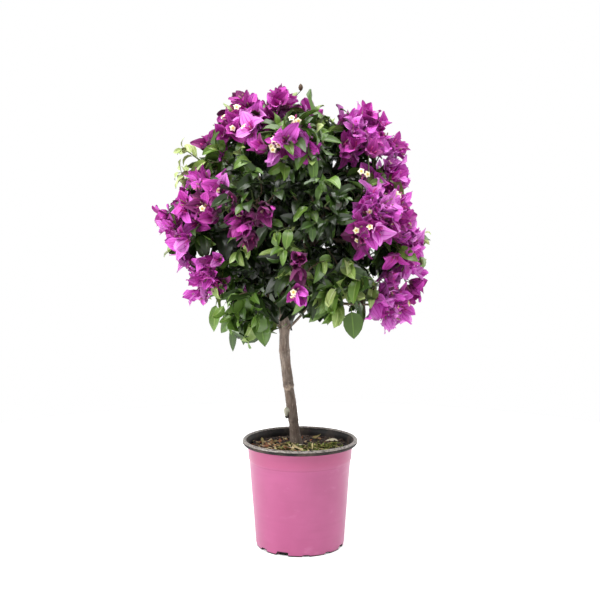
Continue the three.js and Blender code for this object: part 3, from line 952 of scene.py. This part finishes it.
# Single twigs that stand out from the masses, by kind: the place of the tip, and then the number
# of blooms and of stars among them, or the leaves' tone and a hanging leaf's width as a share
# of its length. A lantern's blooms hang nearly closed, cream is stars without bracts, a shoot is
# a tuft of young leaves, a leaf hangs by itself, and a bud twig is bare.
TWIGS_BY_KIND = [
    ("bloom", [
        (-42, -52, 628, 2, 0), (86, -30, 613, 4, 0), (130, -22, 572, 3, 0),
        (118, -40, 582, 4, 0), (-27, -44, 627, 4, 0), (36, -60, 622, 2, 0),
        (152, -22, 392, 3, 0), (142, -30, 356, 3, 1), (148, -26, 376, 4, 0),
        (104, -46, 566, 3, 0), (-182, -12, 484, 2, 0), (-160, -26, 548, 1, 0)]),
    ("lantern", [
        (-4, -131, 425, 3, 0), (-5, -131, 387, 3, 1), (-45, -140, 496, 3, 0),
        (-72, -136, 476, 3, 0), (-64, -132, 464, 3, 0), (-57, -130, 484, 3, 0)]),
    ("bloom", [
        (74, -126, 468, 2, 1), (90, -122, 469, 2, 1), (-24, -118, 578, 3, 0),
        (-92, -76, 596, 3, 0), (-60, -98, 594, 3, 0), (-44, -114, 566, 2, 0),
        (-126, -50, 574, 2, 0), (-12, -116, 582, 3, 0), (-102, -118, 516, 4, 0),
        (-84, -130, 504, 4, 0), (-122, -102, 500, 4, 1), (-106, -116, 486, 3, 0),
        (-128, -84, 524, 3, 0), (92, -100, 566, 2, 0), (-148, -24, 424, 2, 0),
        (-131, -37, 380, 3, 0), (-132, -32, 400, 2, 0), (110, -56, 364, 3, 0),
        (118, -50, 350, 3, 0), (110, -30, 602, 2, 0), (164, -10, 410, 2, 0),
        (142, -36, 404, 3, 0), (114, -66, 398, 2, 0)]),
    ("cream", [
        (-8, -116, 603, 3, 0), (-34, -122, 573, 2, 0), (125, -88, 507, 2, 0),
        (82, -112, 534, 1, 0), (-88, -70, 627, 1, 0)]),
    ("shoot", [
        (-166, -22, 580, 6, 0), (-172, -4, 548, 6, 0), (180, -12, 458, 6, 0),
        (-20, -30, 636, 5, 0), (24, -40, 622, 5, 0)]),
    ("leafy", [
        (-112, -88, 574, 4, 0), (-82, -106, 566, 4, 0), (24, -114, 590, 4, 0),
        (-80, -122, 438, 4, 0), (-30, -146, 464, 4, 0), (-22, -148, 444, 4, 0),
        (62, -112, 430, 3, 0), (82, -104, 404, 3, 0), (48, -116, 388, 4, 0),
        (6, -124, 600, 3, 0), (-104, -66, 374, 4, 0), (-90, -82, 358, 3, 0),
        (-62, -90, 350, 3, 0)]),
    ("leaf", [
        (16, -130, 570, 3, 0.36), (71, -66, 358, 3, 0.77), (146, -12, 514, 5, 0.4),
        (-92, -64, 338, 2, 0.3), (-76, -78, 350, 3, 0.46), (-46, -84, 350, 3, 0.42),
        (-117, -54, 366, 4, 0.42)]),
    ("bud", [
        (1, -22, 661, 0, 0)]),
]
SINGLE_TWIGS = [(kind, row[:3], *row[3:]) for kind, rows in TWIGS_BY_KIND for row in rows]
BLOOMING = ("bloom", "lantern", "cream")
BLOOM_ROWS = [row for row in SINGLE_TWIGS if row[0] in BLOOMING]
SINGLE_BLOOMS = np.array([row[1] for row in BLOOM_ROWS], float)
# The room without leaves round each of them, which is deeper for a lantern: it hangs in a gap.
ROOM, DEEP_ROOM = 21.0, 46.0
ROOMS = np.array([(ROOM, DEEP_ROOM if row[0] == "lantern" else ROOM, ROOM) for row in BLOOM_ROWS])


def grow_single_twigs(masses, skeletons):
    """Branches each single twig from the best point of its nearest mass."""
    sprays = []
    for kind, tip, first, second in SINGLE_TWIGS:
        tip = np.array(tip, float)
        mass = nearest_mass(masses, tip)
        path = skeletons[mass.name].twig_to(tip, 0.15)[0]
        if kind in BLOOMING:
            sprays.append(Spray(path, mass, 1.0, kind, 4, first, second))
        else:
            sprays.append(Spray(path, mass, 1.0, kind, first, width=second))
    return sprays


INNER_TWIGS = 160
INNER_MIDDLE, INNER_REACH = np.array([-8, 22, 462]), np.array([118, 72, 96])


def grow_inner_twigs(masses, skeletons):
    """Leafy twigs through the middle of the head, out of sight from most sides. Their leaves start
    from the two darkest tones: painted shade.
    """
    dice = np.random.default_rng(SEED + 9)
    sprays = []
    points = spread_ways(INNER_TWIGS, dice) * dice.uniform(0.25, 1, (INNER_TWIGS, 1)) ** 0.5
    for target in INNER_MIDDLE + points * INNER_REACH:
        mass = nearest_mass(masses, target)
        path = skeletons[mass.name].twig_to(target, 0.2)[0]
        sprays.append(Spray(path, mass, 0.0, "leafy", dice.choice([0, 1], p=[0.6, 0.4])))
    return sprays


# Places that stay open: x and z on the plant's middle plane, seen from the front, and a radius.
CLEARINGS = [
    (-171, 469, 4), (-118, 470, 3), (-134, 434, 3), (-108, 354, 4), (-72, 386, 3), (-81, 321, 4),
    (155, 394, 3), (12, 409, 3), (66, 372, 4), (-56, 666, 13), (-183, 386, 15), (162, 523, 8),
    (162, 552, 8), (164, 494, 6), (39, 313, 17), (98, 328, 8), (47, 648, 14), (-196, 508, 10),
    (-96, 672, 10), (-218, 452, 14), (-200, 434, 9), (60, 330, 5), (-150, 318, 8), (-28, 290, 8),
    (-214, 442, 17), (138, 604, 5), (160, 318, 8), (-166, 566, 7), (-146, 338, 7), (-150, 587, 3),
    (-106, 684, 16), (97, 358, 3), (71, 352, 2), (-22, 338, 4), (-36, 286, 5), (-188, 408, 5),
    (-149, 575, 7), (-175, 384, 8), (22, 326, 8), (198, 412, 5), (170, 582, 6),
]


def seen_open(points, margin):
    """Which points, seen from the front, lie in a clearing or within a margin of one."""
    share = CAMERA_AWAY / (CAMERA_AWAY + points[:, 1])
    x, z = points[:, 0] * share, CAMERA_HEIGHT + (points[:, 2] - CAMERA_HEIGHT) * share
    found = np.zeros(len(points), bool)
    for clear_x, clear_z, radius in CLEARINGS:
        found |= np.hypot(x - clear_x, z - clear_z) < radius + margin
    return found


def leaf_spots(spray, dice):
    """Where leaves stand along a twig, and how large each is for its place."""
    length = lengths_along(spray.path)[-1]
    if spray.kind in ("bud", "lantern", "cream"):
        return np.empty(0), np.empty(0)
    if spray.kind == "leaf":
        return np.array([length]), np.array([0.95])
    if spray.kind == "shoot":
        spots = length - np.array([0, 2, 6, 10, 15, 20, 26])
        return spots, np.array([0.5, 0.45, 0.45, 0.5, 0.55, 0.6, 0.7])
    gap = LEAF_SPACING * dice.uniform(0.85, 1.15) * (1.9 if spray.kind == "bloom" else 1)
    first = 6.0 if length > 22 else 2.0
    last = length - (6.0 if spray.kind == "bloom" else 0.0)
    spots = np.arange(first, max(last, first + 1), gap)
    if spray.kind == "leafy":
        spots = np.concatenate([spots, length - np.array([0, 2, 5])])
    fade = 0.0 if spray.kind == "bloom" else 0.45
    return spots, 1.0 - fade * (spots / length) ** 3


def leaf_places(sprays, dice):
    """Where every leaf of some sprays stands, as arrays: its foot and its twig's way there, its
    turn about the twig, a golden angle from the last one's, its size and tone, smaller and paler
    near the tip, and whether it hangs, droops low and stays where leaves are cleared."""
    keys = ("foot", "way", "turn", "size", "tone", "hang", "low", "stays")
    rows = {key: [] for key in keys}
    for spray in sprays:
        length = lengths_along(spray.path)
        spots, size = leaf_spots(spray, dice)
        ways = unit(np.gradient(spray.path, axis=0))
        foot = [np.interp(spots, length, spray.path[:, k]) for k in range(3)]
        way = [np.interp(spots, length, ways[:, k]) for k in range(3)]
        step = dice.choice([-1, 0, 1, 2], len(spots), p=[0.24, 0.44, 0.22, 0.10])
        young = (spots / length[-1] > 0.85) & (dice.random(len(spots)) < 0.4)
        step = np.zeros(len(spots), int) if spray.kind in ("leaf", "shoot") else step + young
        rows["foot"].append(np.stack(foot, axis=-1))
        rows["way"].append(unit(np.stack(way, axis=-1)))
        rows["turn"].append(dice.uniform(0, 2 * np.pi) + np.arange(len(spots)) * GOLDEN_TURN)
        rows["size"].append(size * LEAF_SCALE.get(spray.mass.name, 1))
        rows["tone"].append(np.clip(spray.tone + step, 0, len(LEAF_TONES) - 2))
        rows["hang"].append(np.full(len(spots), spray.width))
        rows["stays"].append(np.full(len(spots), spray.kind in ("leaf", "shoot")))
        rows["low"].append(np.full(len(spots), 0.5 if spray.mass.out[2] < -0.3 else 0.0))
    return {key: np.concatenate(value) for key, value in rows.items()}


def leaves_of(sprays, seed):
    """Every leaf of some sprays as arrays. A leaf leans along its twig and outwards, faces up and
    outwards, and droops. Leaves are left out where the head stays open and round single blooms."""
    dice = np.random.default_rng(seed)
    data = leaf_places(sprays, dice)
    count = len(data["turn"])
    side, other = across(data["way"][:, None])
    hangs = data["hang"] > 0
    turn, hang = data["turn"][:, None], hangs[:, None]
    radial = np.cos(turn) * side[:, 0] + np.sin(turn) * other[:, 0]
    outward = unit(data["foot"] - HEAD)
    lean = dice.uniform(0.45, 1.2, (count, 1))
    axis = unit(data["way"] * np.cos(lean) + radial * np.sin(lean) + 0.3 * outward
                + 0.3 * dice.normal(size=(count, 3))
                - UP * (dice.uniform(-0.15, 0.65, (count, 1)) + data["low"][:, None]))
    axis = np.where(hang, unit(0.25 * outward - UP * 0.9), axis)
    facing = unit(0.35 * outward + 0.8 * UP + 0.6 * dice.normal(size=(count, 3)))
    facing = np.where(hang, unit(0.4 * outward + [0, -0.8, 0.2]), facing)
    normal = unit(facing - (facing * axis).sum(axis=1, keepdims=True) * axis)
    length = dice.uniform(*LEAF_LENGTH, count)
    length = np.where(hangs, HANGING_LEAF, length * data["size"])
    share = np.where(hangs, data["hang"], LEAF_WIDTH * dice.uniform(0.8, 1.25, count))
    data = {
        "foot": data["foot"] + axis * (length * LEAF_STALK)[:, None],
        "axis": axis, "normal": normal, "length": length, "width": length * share / 2,
        "bend": dice.uniform(0.3, 2.1, count) * np.where(hangs, 0.3, 1),
        "fold": dice.uniform(0.1, 0.9, count) * np.where(hangs, 0.4, 1),
        "ruffle": dice.uniform(0.0, 0.07, count), "phase": dice.uniform(0, 6.28, count),
        "twist": dice.normal(0, 0.45, count) * np.where(hangs, 0.2, 1), "tone": data["tone"],
        "stays": data["stays"],
    }
    middles = data["foot"] + axis * length[:, None] * 0.5
    apart = np.linalg.norm((middles[:, None] - SINGLE_BLOOMS) / ROOMS, axis=2)
    crowded = (apart < 1).any(axis=1)
    return keep(data, data["stays"] | ~(seen_open(middles, 9) | crowded))


def keep(data, chosen):
    """The chosen rows of every array."""
    return {key: value[chosen] for key, value in data.items()}


LEAF_ROWS = [-0.17, 0.0, 0.1, 0.27, 0.46, 0.66, 0.84, 1.0]
LEAF_COLUMNS = [-1, -0.55, -0.07, 0.07, 0.55, 1]


def leaf_outline(u):
    """An egg-shaped leaf: widest a third of the way up, drawn out to a point, on a thin stalk."""
    inside = np.clip(u, 0, 1)
    blade = 2.62 * inside**0.55 * (1 - inside) ** 0.9
    return np.maximum(blade, 0.035)


def leaf_finish(tone, rows, columns):
    """The midrib and the stalk take the next paler tone."""
    finish = np.broadcast_to(tone, (len(tone), rows, columns)).copy()
    finish[:, :, columns // 2] += 1
    finish[:, 0] = tone[:, 0] + 1
    return finish


BRACT_ROWS = [0.0, 0.08, 0.24, 0.42, 0.6, 0.78, 0.92, 1.0]
BRACT_COLUMNS = [-1, -0.6, -0.47, -0.07, 0.07, 0.47, 0.6, 1]


def bract_outline(u):
    """A broad egg shape with a round foot, drawn out to a point."""
    return np.maximum(2.66 * np.clip(u, 0, 1) ** 0.58 * np.clip(1 - u, 0, 1) ** 0.88, 0.03)


def bract_finish(tone, rows, columns):
    """The foot, the midrib and two side veins take the next deeper tone."""
    finish = np.broadcast_to(tone, (len(tone), rows, columns)).copy()
    finish[:, 1:-1, columns // 2] -= 1
    finish[:, 1:-2, 1] -= 1
    finish[:, 1:-2, -2] -= 1
    finish[:, 0] = tone[:, 0] - 1
    finish[:, 1] -= 1
    return np.clip(finish, 0, PALEST_BRACT)


def blooms_of(sprays, seed):
    """The blooms as arrays: a few on short stalks round each blooming twig's tip, each with its
    foot, its axis, its stalk, its tone and whether it shows a star, is closed or has no bracts."""
    dice = np.random.default_rng(seed)
    rows = {key: [] for key in ("foot", "axis", "stalk", "tone", "star", "closed", "bare")}
    for spray in sprays:
        if spray.kind not in BLOOMING:
            continue
        tip, way = spray.path[-1], unit(spray.path[-1] - spray.path[-3])
        outward = unit(tip - HEAD)
        side, other = across(way[None])
        tone = dice.choice([1, 2, 3, 4, 5], p=[0.09, 0.19, 0.29, 0.26, 0.17])
        # Lanterns take two tones deeper, painted shade for the gap they hang in; other bracts take
        # their mass's painted light.
        tone += -2 if spray.kind == "lantern" else BRACT_PAINTED_LIGHT.get(spray.mass.name, 0)
        count = spray.blooms or dice.choice([3, 4, 5, 6, 7], p=[0.2, 0.28, 0.26, 0.16, 0.1])
        closed = spray.kind == "lantern"
        hangs = np.array([0, -0.5, -0.9]) if closed else 0.3 * outward
        for number in range(count):
            turn = number * 2.4 + dice.uniform(0, 1)
            radial = math.cos(turn) * side[0] + math.sin(turn) * other[0]
            spread = 0.35 if number == 0 else dice.uniform(0.7, 1.2)
            heading = way * 0.6 + outward * 0.7 + radial * spread
            heading = unit(heading + dice.normal(size=3) * 0.22)
            root = spray.path[-1 - (number + 1) // 2]
            away = 0.5 if spray.kind in ("lantern", "cream") else 1.0
            foot = root + heading * away * (dice.uniform(5, 16) if number else dice.uniform(2, 6))
            leaning = heading + hangs + dice.normal(size=3) * 0.2
            if number < spray.stars or spray.kind == "cream":
                leaning = np.array([0.15, -1.0, 0.1]) + 0.25 * leaning
            rows["bare"].append(spray.kind == "cream")
            rows["foot"].append(foot)
            rows["axis"].append(unit(leaning))
            rows["closed"].append(closed and number >= spray.stars)
            rows["stalk"].append(np.linspace(root, foot, 4))
            step = dice.choice([-1, 0, 1], p=[0.25, 0.5, 0.25])
            rows["tone"].append(np.clip(tone + step, 0, PALEST_BRACT))
            rows["star"].append(number < spray.stars)
    data = {key: np.array(value) for key, value in rows.items()}
    stays = data["star"] | data["bare"]
    return keep(data, ~seen_open(data["foot"] + data["axis"] * 10, 11) | stays)


def three_each(values):
    """Each row three times."""
    return np.repeat(values, 3, axis=0)


def bracts_of(blooms, dice):
    """Three bracts a bloom, a third of a turn apart. Each starts up along the bloom's axis and
    curls outwards, more in an open bloom than in a closed one."""
    feet, axes, shades = blooms["foot"], blooms["axis"], blooms["tone"]
    count = len(feet)
    side, other = across(axes[:, None])
    turn = dice.uniform(0, 2 * np.pi, count)[:, None] + np.arange(3) * 2 * np.pi / 3
    turn = (turn + dice.normal(0, 0.14, turn.shape)).reshape(-1, 1)
    radial = np.cos(turn) * three_each(side[:, 0]) + np.sin(turn) * three_each(other[:, 0])
    openness = np.where(blooms["star"], 0.9, dice.uniform(0.2, 0.85, count))
    openness = three_each(np.where(blooms["closed"], 0.3 * openness + 0.7, openness)[:, None])
    main = three_each(axes)
    axis = unit(main * np.cos(openness) + radial * np.sin(openness))
    normal = unit(main * np.sin(openness) - radial * np.cos(openness))
    length = three_each(dice.uniform(*BRACT_LENGTH, count)) * dice.uniform(0.9, 1.08, count * 3)
    return {
        "foot": three_each(feet) + radial * 0.6, "axis": axis, "normal": normal,
        "length": length, "width": length * BRACT_WIDTH / 2 * dice.uniform(0.9, 1.1, count * 3),
        "bend": dice.uniform(-0.3, 0.85, count * 3)
                - three_each(1.5 * blooms["closed"] + 0.5 * blooms["star"]),
        "fold": dice.uniform(0.25, 0.75, count * 3),
        "ruffle": dice.uniform(0.03, 0.1, count * 3), "phase": dice.uniform(0, 6.28, count * 3),
        "twist": dice.normal(0, 0.3, count * 3),
        "tone": np.clip(three_each(shades) + dice.choice([-1, 0, 0, 1], count * 3),
                        0, PALEST_BRACT),
    }


def add_tubes_and_stars(piece, blooms, dice):
    """Three slim tubes in each bloom, swollen below the middle, and on some of them an open star
    of five cream lobes round a yellow eye."""
    axes, count = blooms["axis"], len(blooms["axis"])
    side, other = across(axes[:, None])
    turn = dice.uniform(0, 2 * np.pi, count)[:, None] + np.arange(3) * 2 * np.pi / 3
    turn = turn.reshape(-1, 1)
    radial = np.cos(turn) * three_each(side[:, 0]) + np.sin(turn) * three_each(other[:, 0])
    way = unit(three_each(axes) + 0.3 * radial)
    start = three_each(blooms["foot"]) + radial * 1.0
    share = np.array([0, 0.3, 0.62, 0.9, 1.0])
    length = TUBE_LENGTH * dice.uniform(0.8, 1.15, (count * 3, 1, 1))
    paths = start[:, None] + way[:, None] * share[None, :, None] * length
    radii = np.broadcast_to([0.7, 1.15, 0.85, 1.15, 0.5], (count * 3, 5))
    add_tubes(piece, paths, radii, 4, np.where(dice.random(count * 3) < 0.5, 0, 1))
    first = np.arange(count * 3) % 3 == 0
    chosen = three_each(blooms["star"]) & first | (dice.random(count * 3) < STAR_SHARE)
    chosen |= three_each(blooms["bare"]) & (first | (dice.random(count * 3) < 0.3))
    ways = unit(way[chosen] + 0.2 * dice.normal(size=(chosen.sum(), 3)))
    tips = paths[chosen, -1]
    add_stars(piece, tips + ways * 0.5, ways, STAR_RADIUS, 2)
    add_stars(piece, tips + ways * 0.95, ways, STAR_RADIUS * 0.42, 3)


def add_stars(piece, middles, ways, radius, finish):
    """Five-lobed stars: a middle point and ten round it, near and far by turns, the far ones
    bent back a little."""
    side, other = across(ways[:, None])
    angle, near = np.arange(10) / 10 * 2 * np.pi, np.arange(10)[:, None] % 2
    reach = np.where(near, radius * 0.7, radius)
    drop = np.where(near, 0.0, -0.22 * radius)
    ring = np.cos(angle)[:, None] * reach * side + np.sin(angle)[:, None] * reach * other
    ring = ring + drop * ways[:, None] + middles[:, None]
    points = np.concatenate([middles[:, None], ring], axis=1)
    lobes = np.array([[0, 1 + (i - 1) % 10, 1 + i, 1 + (i + 1) % 10] for i in range(0, 10, 2)])
    faces = (lobes[None] + np.arange(len(ways))[:, None, None] * 11).reshape(-1, 4)
    piece.add(points, faces, finish)


# ---- the pieces of the head ----


def sector_of(mass):
    """The side of the head that a mass is on."""
    if mass.middle[1] > HEAD[1] + 25:
        return "back"
    if abs(mass.middle[0] - HEAD[0]) < 62:
        return "front"
    return "left" if mass.middle[0] < HEAD[0] else "right"


def make_wood(wood):
    """A branch for each bough of the CAD, and the side limbs joined as one piece."""
    bark = bark_skin("bough_bark", colour(62, 50, 40), colour(92, 78, 64), colour(126, 112, 96))
    limbs = Piece()
    for number, (node, path, thick) in enumerate(wood):
        if node:
            branch = Piece()
            bark_tube(branch, path, thick, 16, 0.12, 0, 40 + 3 * number)
            branch.make(node.replace("bough", "branch"), [bark], [node])
        else:
            bark_tube(limbs, path, thick, 12, 0.09, 0, 200 + 3 * number)
    limbs.make("side_limbs", [bark])


def add_twigs(piece, sprays):
    """Every spray's twig, tapering to its tip and brown deep in the head, and a swollen bud on
    each bud twig."""
    paths = np.array([spray.path for spray in sprays])
    share = np.linspace(0, 1, paths.shape[1])[None]
    radii = TWIG_RADIUS[0] + (TWIG_RADIUS[1] - TWIG_RADIUS[0]) * share + np.zeros((len(paths), 1))
    add_tubes(piece, paths, radii, 4, np.array([int(spray.outness < 0.6) for spray in sprays]))
    buds = np.array([spray.path[-1] for spray in sprays if spray.kind == "bud"])
    add_tubes(piece, buds[:, None] + UP * np.array([0, 2, 5, 8, 10])[:, None],
              np.tile([0.8, 2.6, 3.4, 2.4, 0.6], (len(buds), 1)), 8, 1)


def make_head():
    """Limbs, twigs, leaves and blooms, each kind joined apart."""
    masses = {name: Mass(name) for name in MASSES}
    wood = []
    skeletons = grow_limbs(masses, wood)
    sprays = grow_sprays(masses, skeletons)
    sprays += grow_single_twigs(masses, skeletons) + grow_inner_twigs(masses, skeletons)
    sectors = {"front": [], "left": [], "right": [], "back": []}
    for spray in sprays:
        sectors[sector_of(spray.mass)].append(spray)
    make_wood(wood)
    green_wood = [plain("twig_green", (84, 98, 52), 0.6), plain("twig_brown", (84, 66, 48), 0.75)]
    twigs = Piece()
    add_twigs(twigs, sprays)
    leaf_materials = tones(LEAF_TONES, 0.3)
    bract_materials = tones(BRACT_TONES, 0.6, 0.15)
    small_materials = tones(TUBE_TONES, 0.6) + tones(STAR_TONES, 0.5)
    flowers = Piece()
    for number, (sector, group) in enumerate(sectors.items()):
        dice = np.random.default_rng(SEED + 50 + number)
        leaves = Piece()
        add_blades(leaves, leaves_of(group, SEED + 30 + number), LEAF_ROWS, LEAF_COLUMNS,
                   leaf_outline, leaf_finish)
        nodes = sorted({spray.mass.name for spray in group})
        leaves.make(f"leaves_{sector}", leaf_materials, nodes)
        blooms = blooms_of(group, SEED + 40 + number)
        bracts = Piece()
        coloured = bracts_of(keep(blooms, ~blooms["bare"]), dice)
        add_blades(bracts, coloured, BRACT_ROWS, BRACT_COLUMNS, bract_outline, bract_finish)
        bracts.make(f"bracts_{sector}", bract_materials)
        add_tubes_and_stars(flowers, blooms, dice)
        add_tubes(twigs, blooms["stalk"], np.full(blooms["stalk"].shape[:2], 0.5), 4, 0)
    flowers.make("small_flowers", small_materials)
    twigs.make("twigs", green_wood)


# ---- the studio ----

CAMERA_AWAY = 1400
CAMERA_HEIGHT = 478
CAMERA_TILT = 4.7            # downwards, in degrees
LENS = 57.7


def make_camera():
    """The viewpoint: in front, level with the middle of the head, tilted down a little."""
    data = bpy.data.cameras.new("viewpoint")
    data.lens = LENS
    data.sensor_width = 36
    camera = placed("viewpoint", data)
    camera.location = (0, -CAMERA_AWAY * MM, CAMERA_HEIGHT * MM)
    camera.rotation_euler = (math.radians(90 - CAMERA_TILT), 0, 0)
    bpy.context.scene.camera = camera


SURROUND = 0.42              # how strongly the white surround lights the plant
# Softboxes: a name, a place in metres, a side in metres and a power in watts.
SOFTBOXES = [
    ("overhead", (0.0, -0.55, 2.4), 2.4, 92),
    ("key", (-2.1, -0.8, 1.0), 1.3, 42),
    ("rim", (1.7, 0.8, 0.9), 1.2, 10),
]
LIT_POINT = Vector((0, 0, 0.35))
FLOOR_RADIUS = 1.1           # in metres
FLOOR_GLOW = 0.3             # how strongly the floor shines by itself


def make_floor():
    """A round white floor that shines a little by itself."""
    angle = np.arange(96) / 96 * 2 * np.pi
    ring = np.stack([np.cos(angle), np.sin(angle), 0 * angle], axis=-1) * FLOOR_RADIUS
    mesh = bpy.data.meshes.new("floor")
    mesh.from_pydata(ring.tolist(), [], [list(range(96))])
    white = plain("floor_white", (252, 252, 252), 0.8)
    shader = white.node_tree.nodes["Principled BSDF"]
    shader.inputs["Emission Color"].default_value = (1, 1, 1, 1)
    shader.inputs["Emission Strength"].default_value = FLOOR_GLOW
    mesh.materials.append(white)
    floor = placed("floor", mesh)


def make_softboxes():
    """Square lights that all face the plant."""
    for name, place, size, power in SOFTBOXES:
        data = bpy.data.lights.new(name, "AREA")
        data.size, data.energy = size, power
        light = placed(name, data)
        light.location = place
        light.rotation_euler = (LIT_POINT - Vector(place)).to_track_quat("-Z", "Y").to_euler()


def make_surround():
    """A white surround that is darker as a light than it looks, by itself or in a gloss."""
    world = bpy.data.worlds.new("surround")
    world.use_nodes = True
    tree = world.node_tree
    shown, lit = tree.nodes["Background"], tree.nodes.new("ShaderNodeBackground")
    lit.inputs["Strength"].default_value = SURROUND
    for background in (shown, lit):
        background.inputs["Color"].default_value = (1, 1, 1, 1)
    path, mixed = tree.nodes.new("ShaderNodeLightPath"), tree.nodes.new("ShaderNodeMixShader")
    either = tree.nodes.new("ShaderNodeMath")
    either.operation = "MAXIMUM"
    tree.links.new(path.outputs["Is Camera Ray"], either.inputs[0])
    tree.links.new(path.outputs["Is Glossy Ray"], either.inputs[1])
    tree.links.new(either.outputs[0], mixed.inputs["Fac"])
    tree.links.new(lit.outputs["Background"], mixed.inputs[1])
    tree.links.new(shown.outputs["Background"], mixed.inputs[2])
    tree.links.new(mixed.outputs["Shader"], tree.nodes["World Output"].inputs["Surface"])
    bpy.context.scene.world = world
    bpy.context.scene.view_settings.view_transform = "Standard"


# ---- the whole plant ----

make_camera()
make_floor()
make_softboxes()
make_surround()
make_pot(pink_plastic(), black_plastic(), worn_plastic())
make_soil(soil_earth())
make_chips(tones(SOIL_TONES, 0.85))
make_litter(tones(DRY_TONES, 0.75))
stem_bark = bark_skin("stem_bark", colour(84, 72, 63), colour(127, 113, 102),
                      colour(163, 151, 139), colour(72, 60, 52))
make_stem(stem_bark, tones(BUD_TONES, 0.7))
make_head()
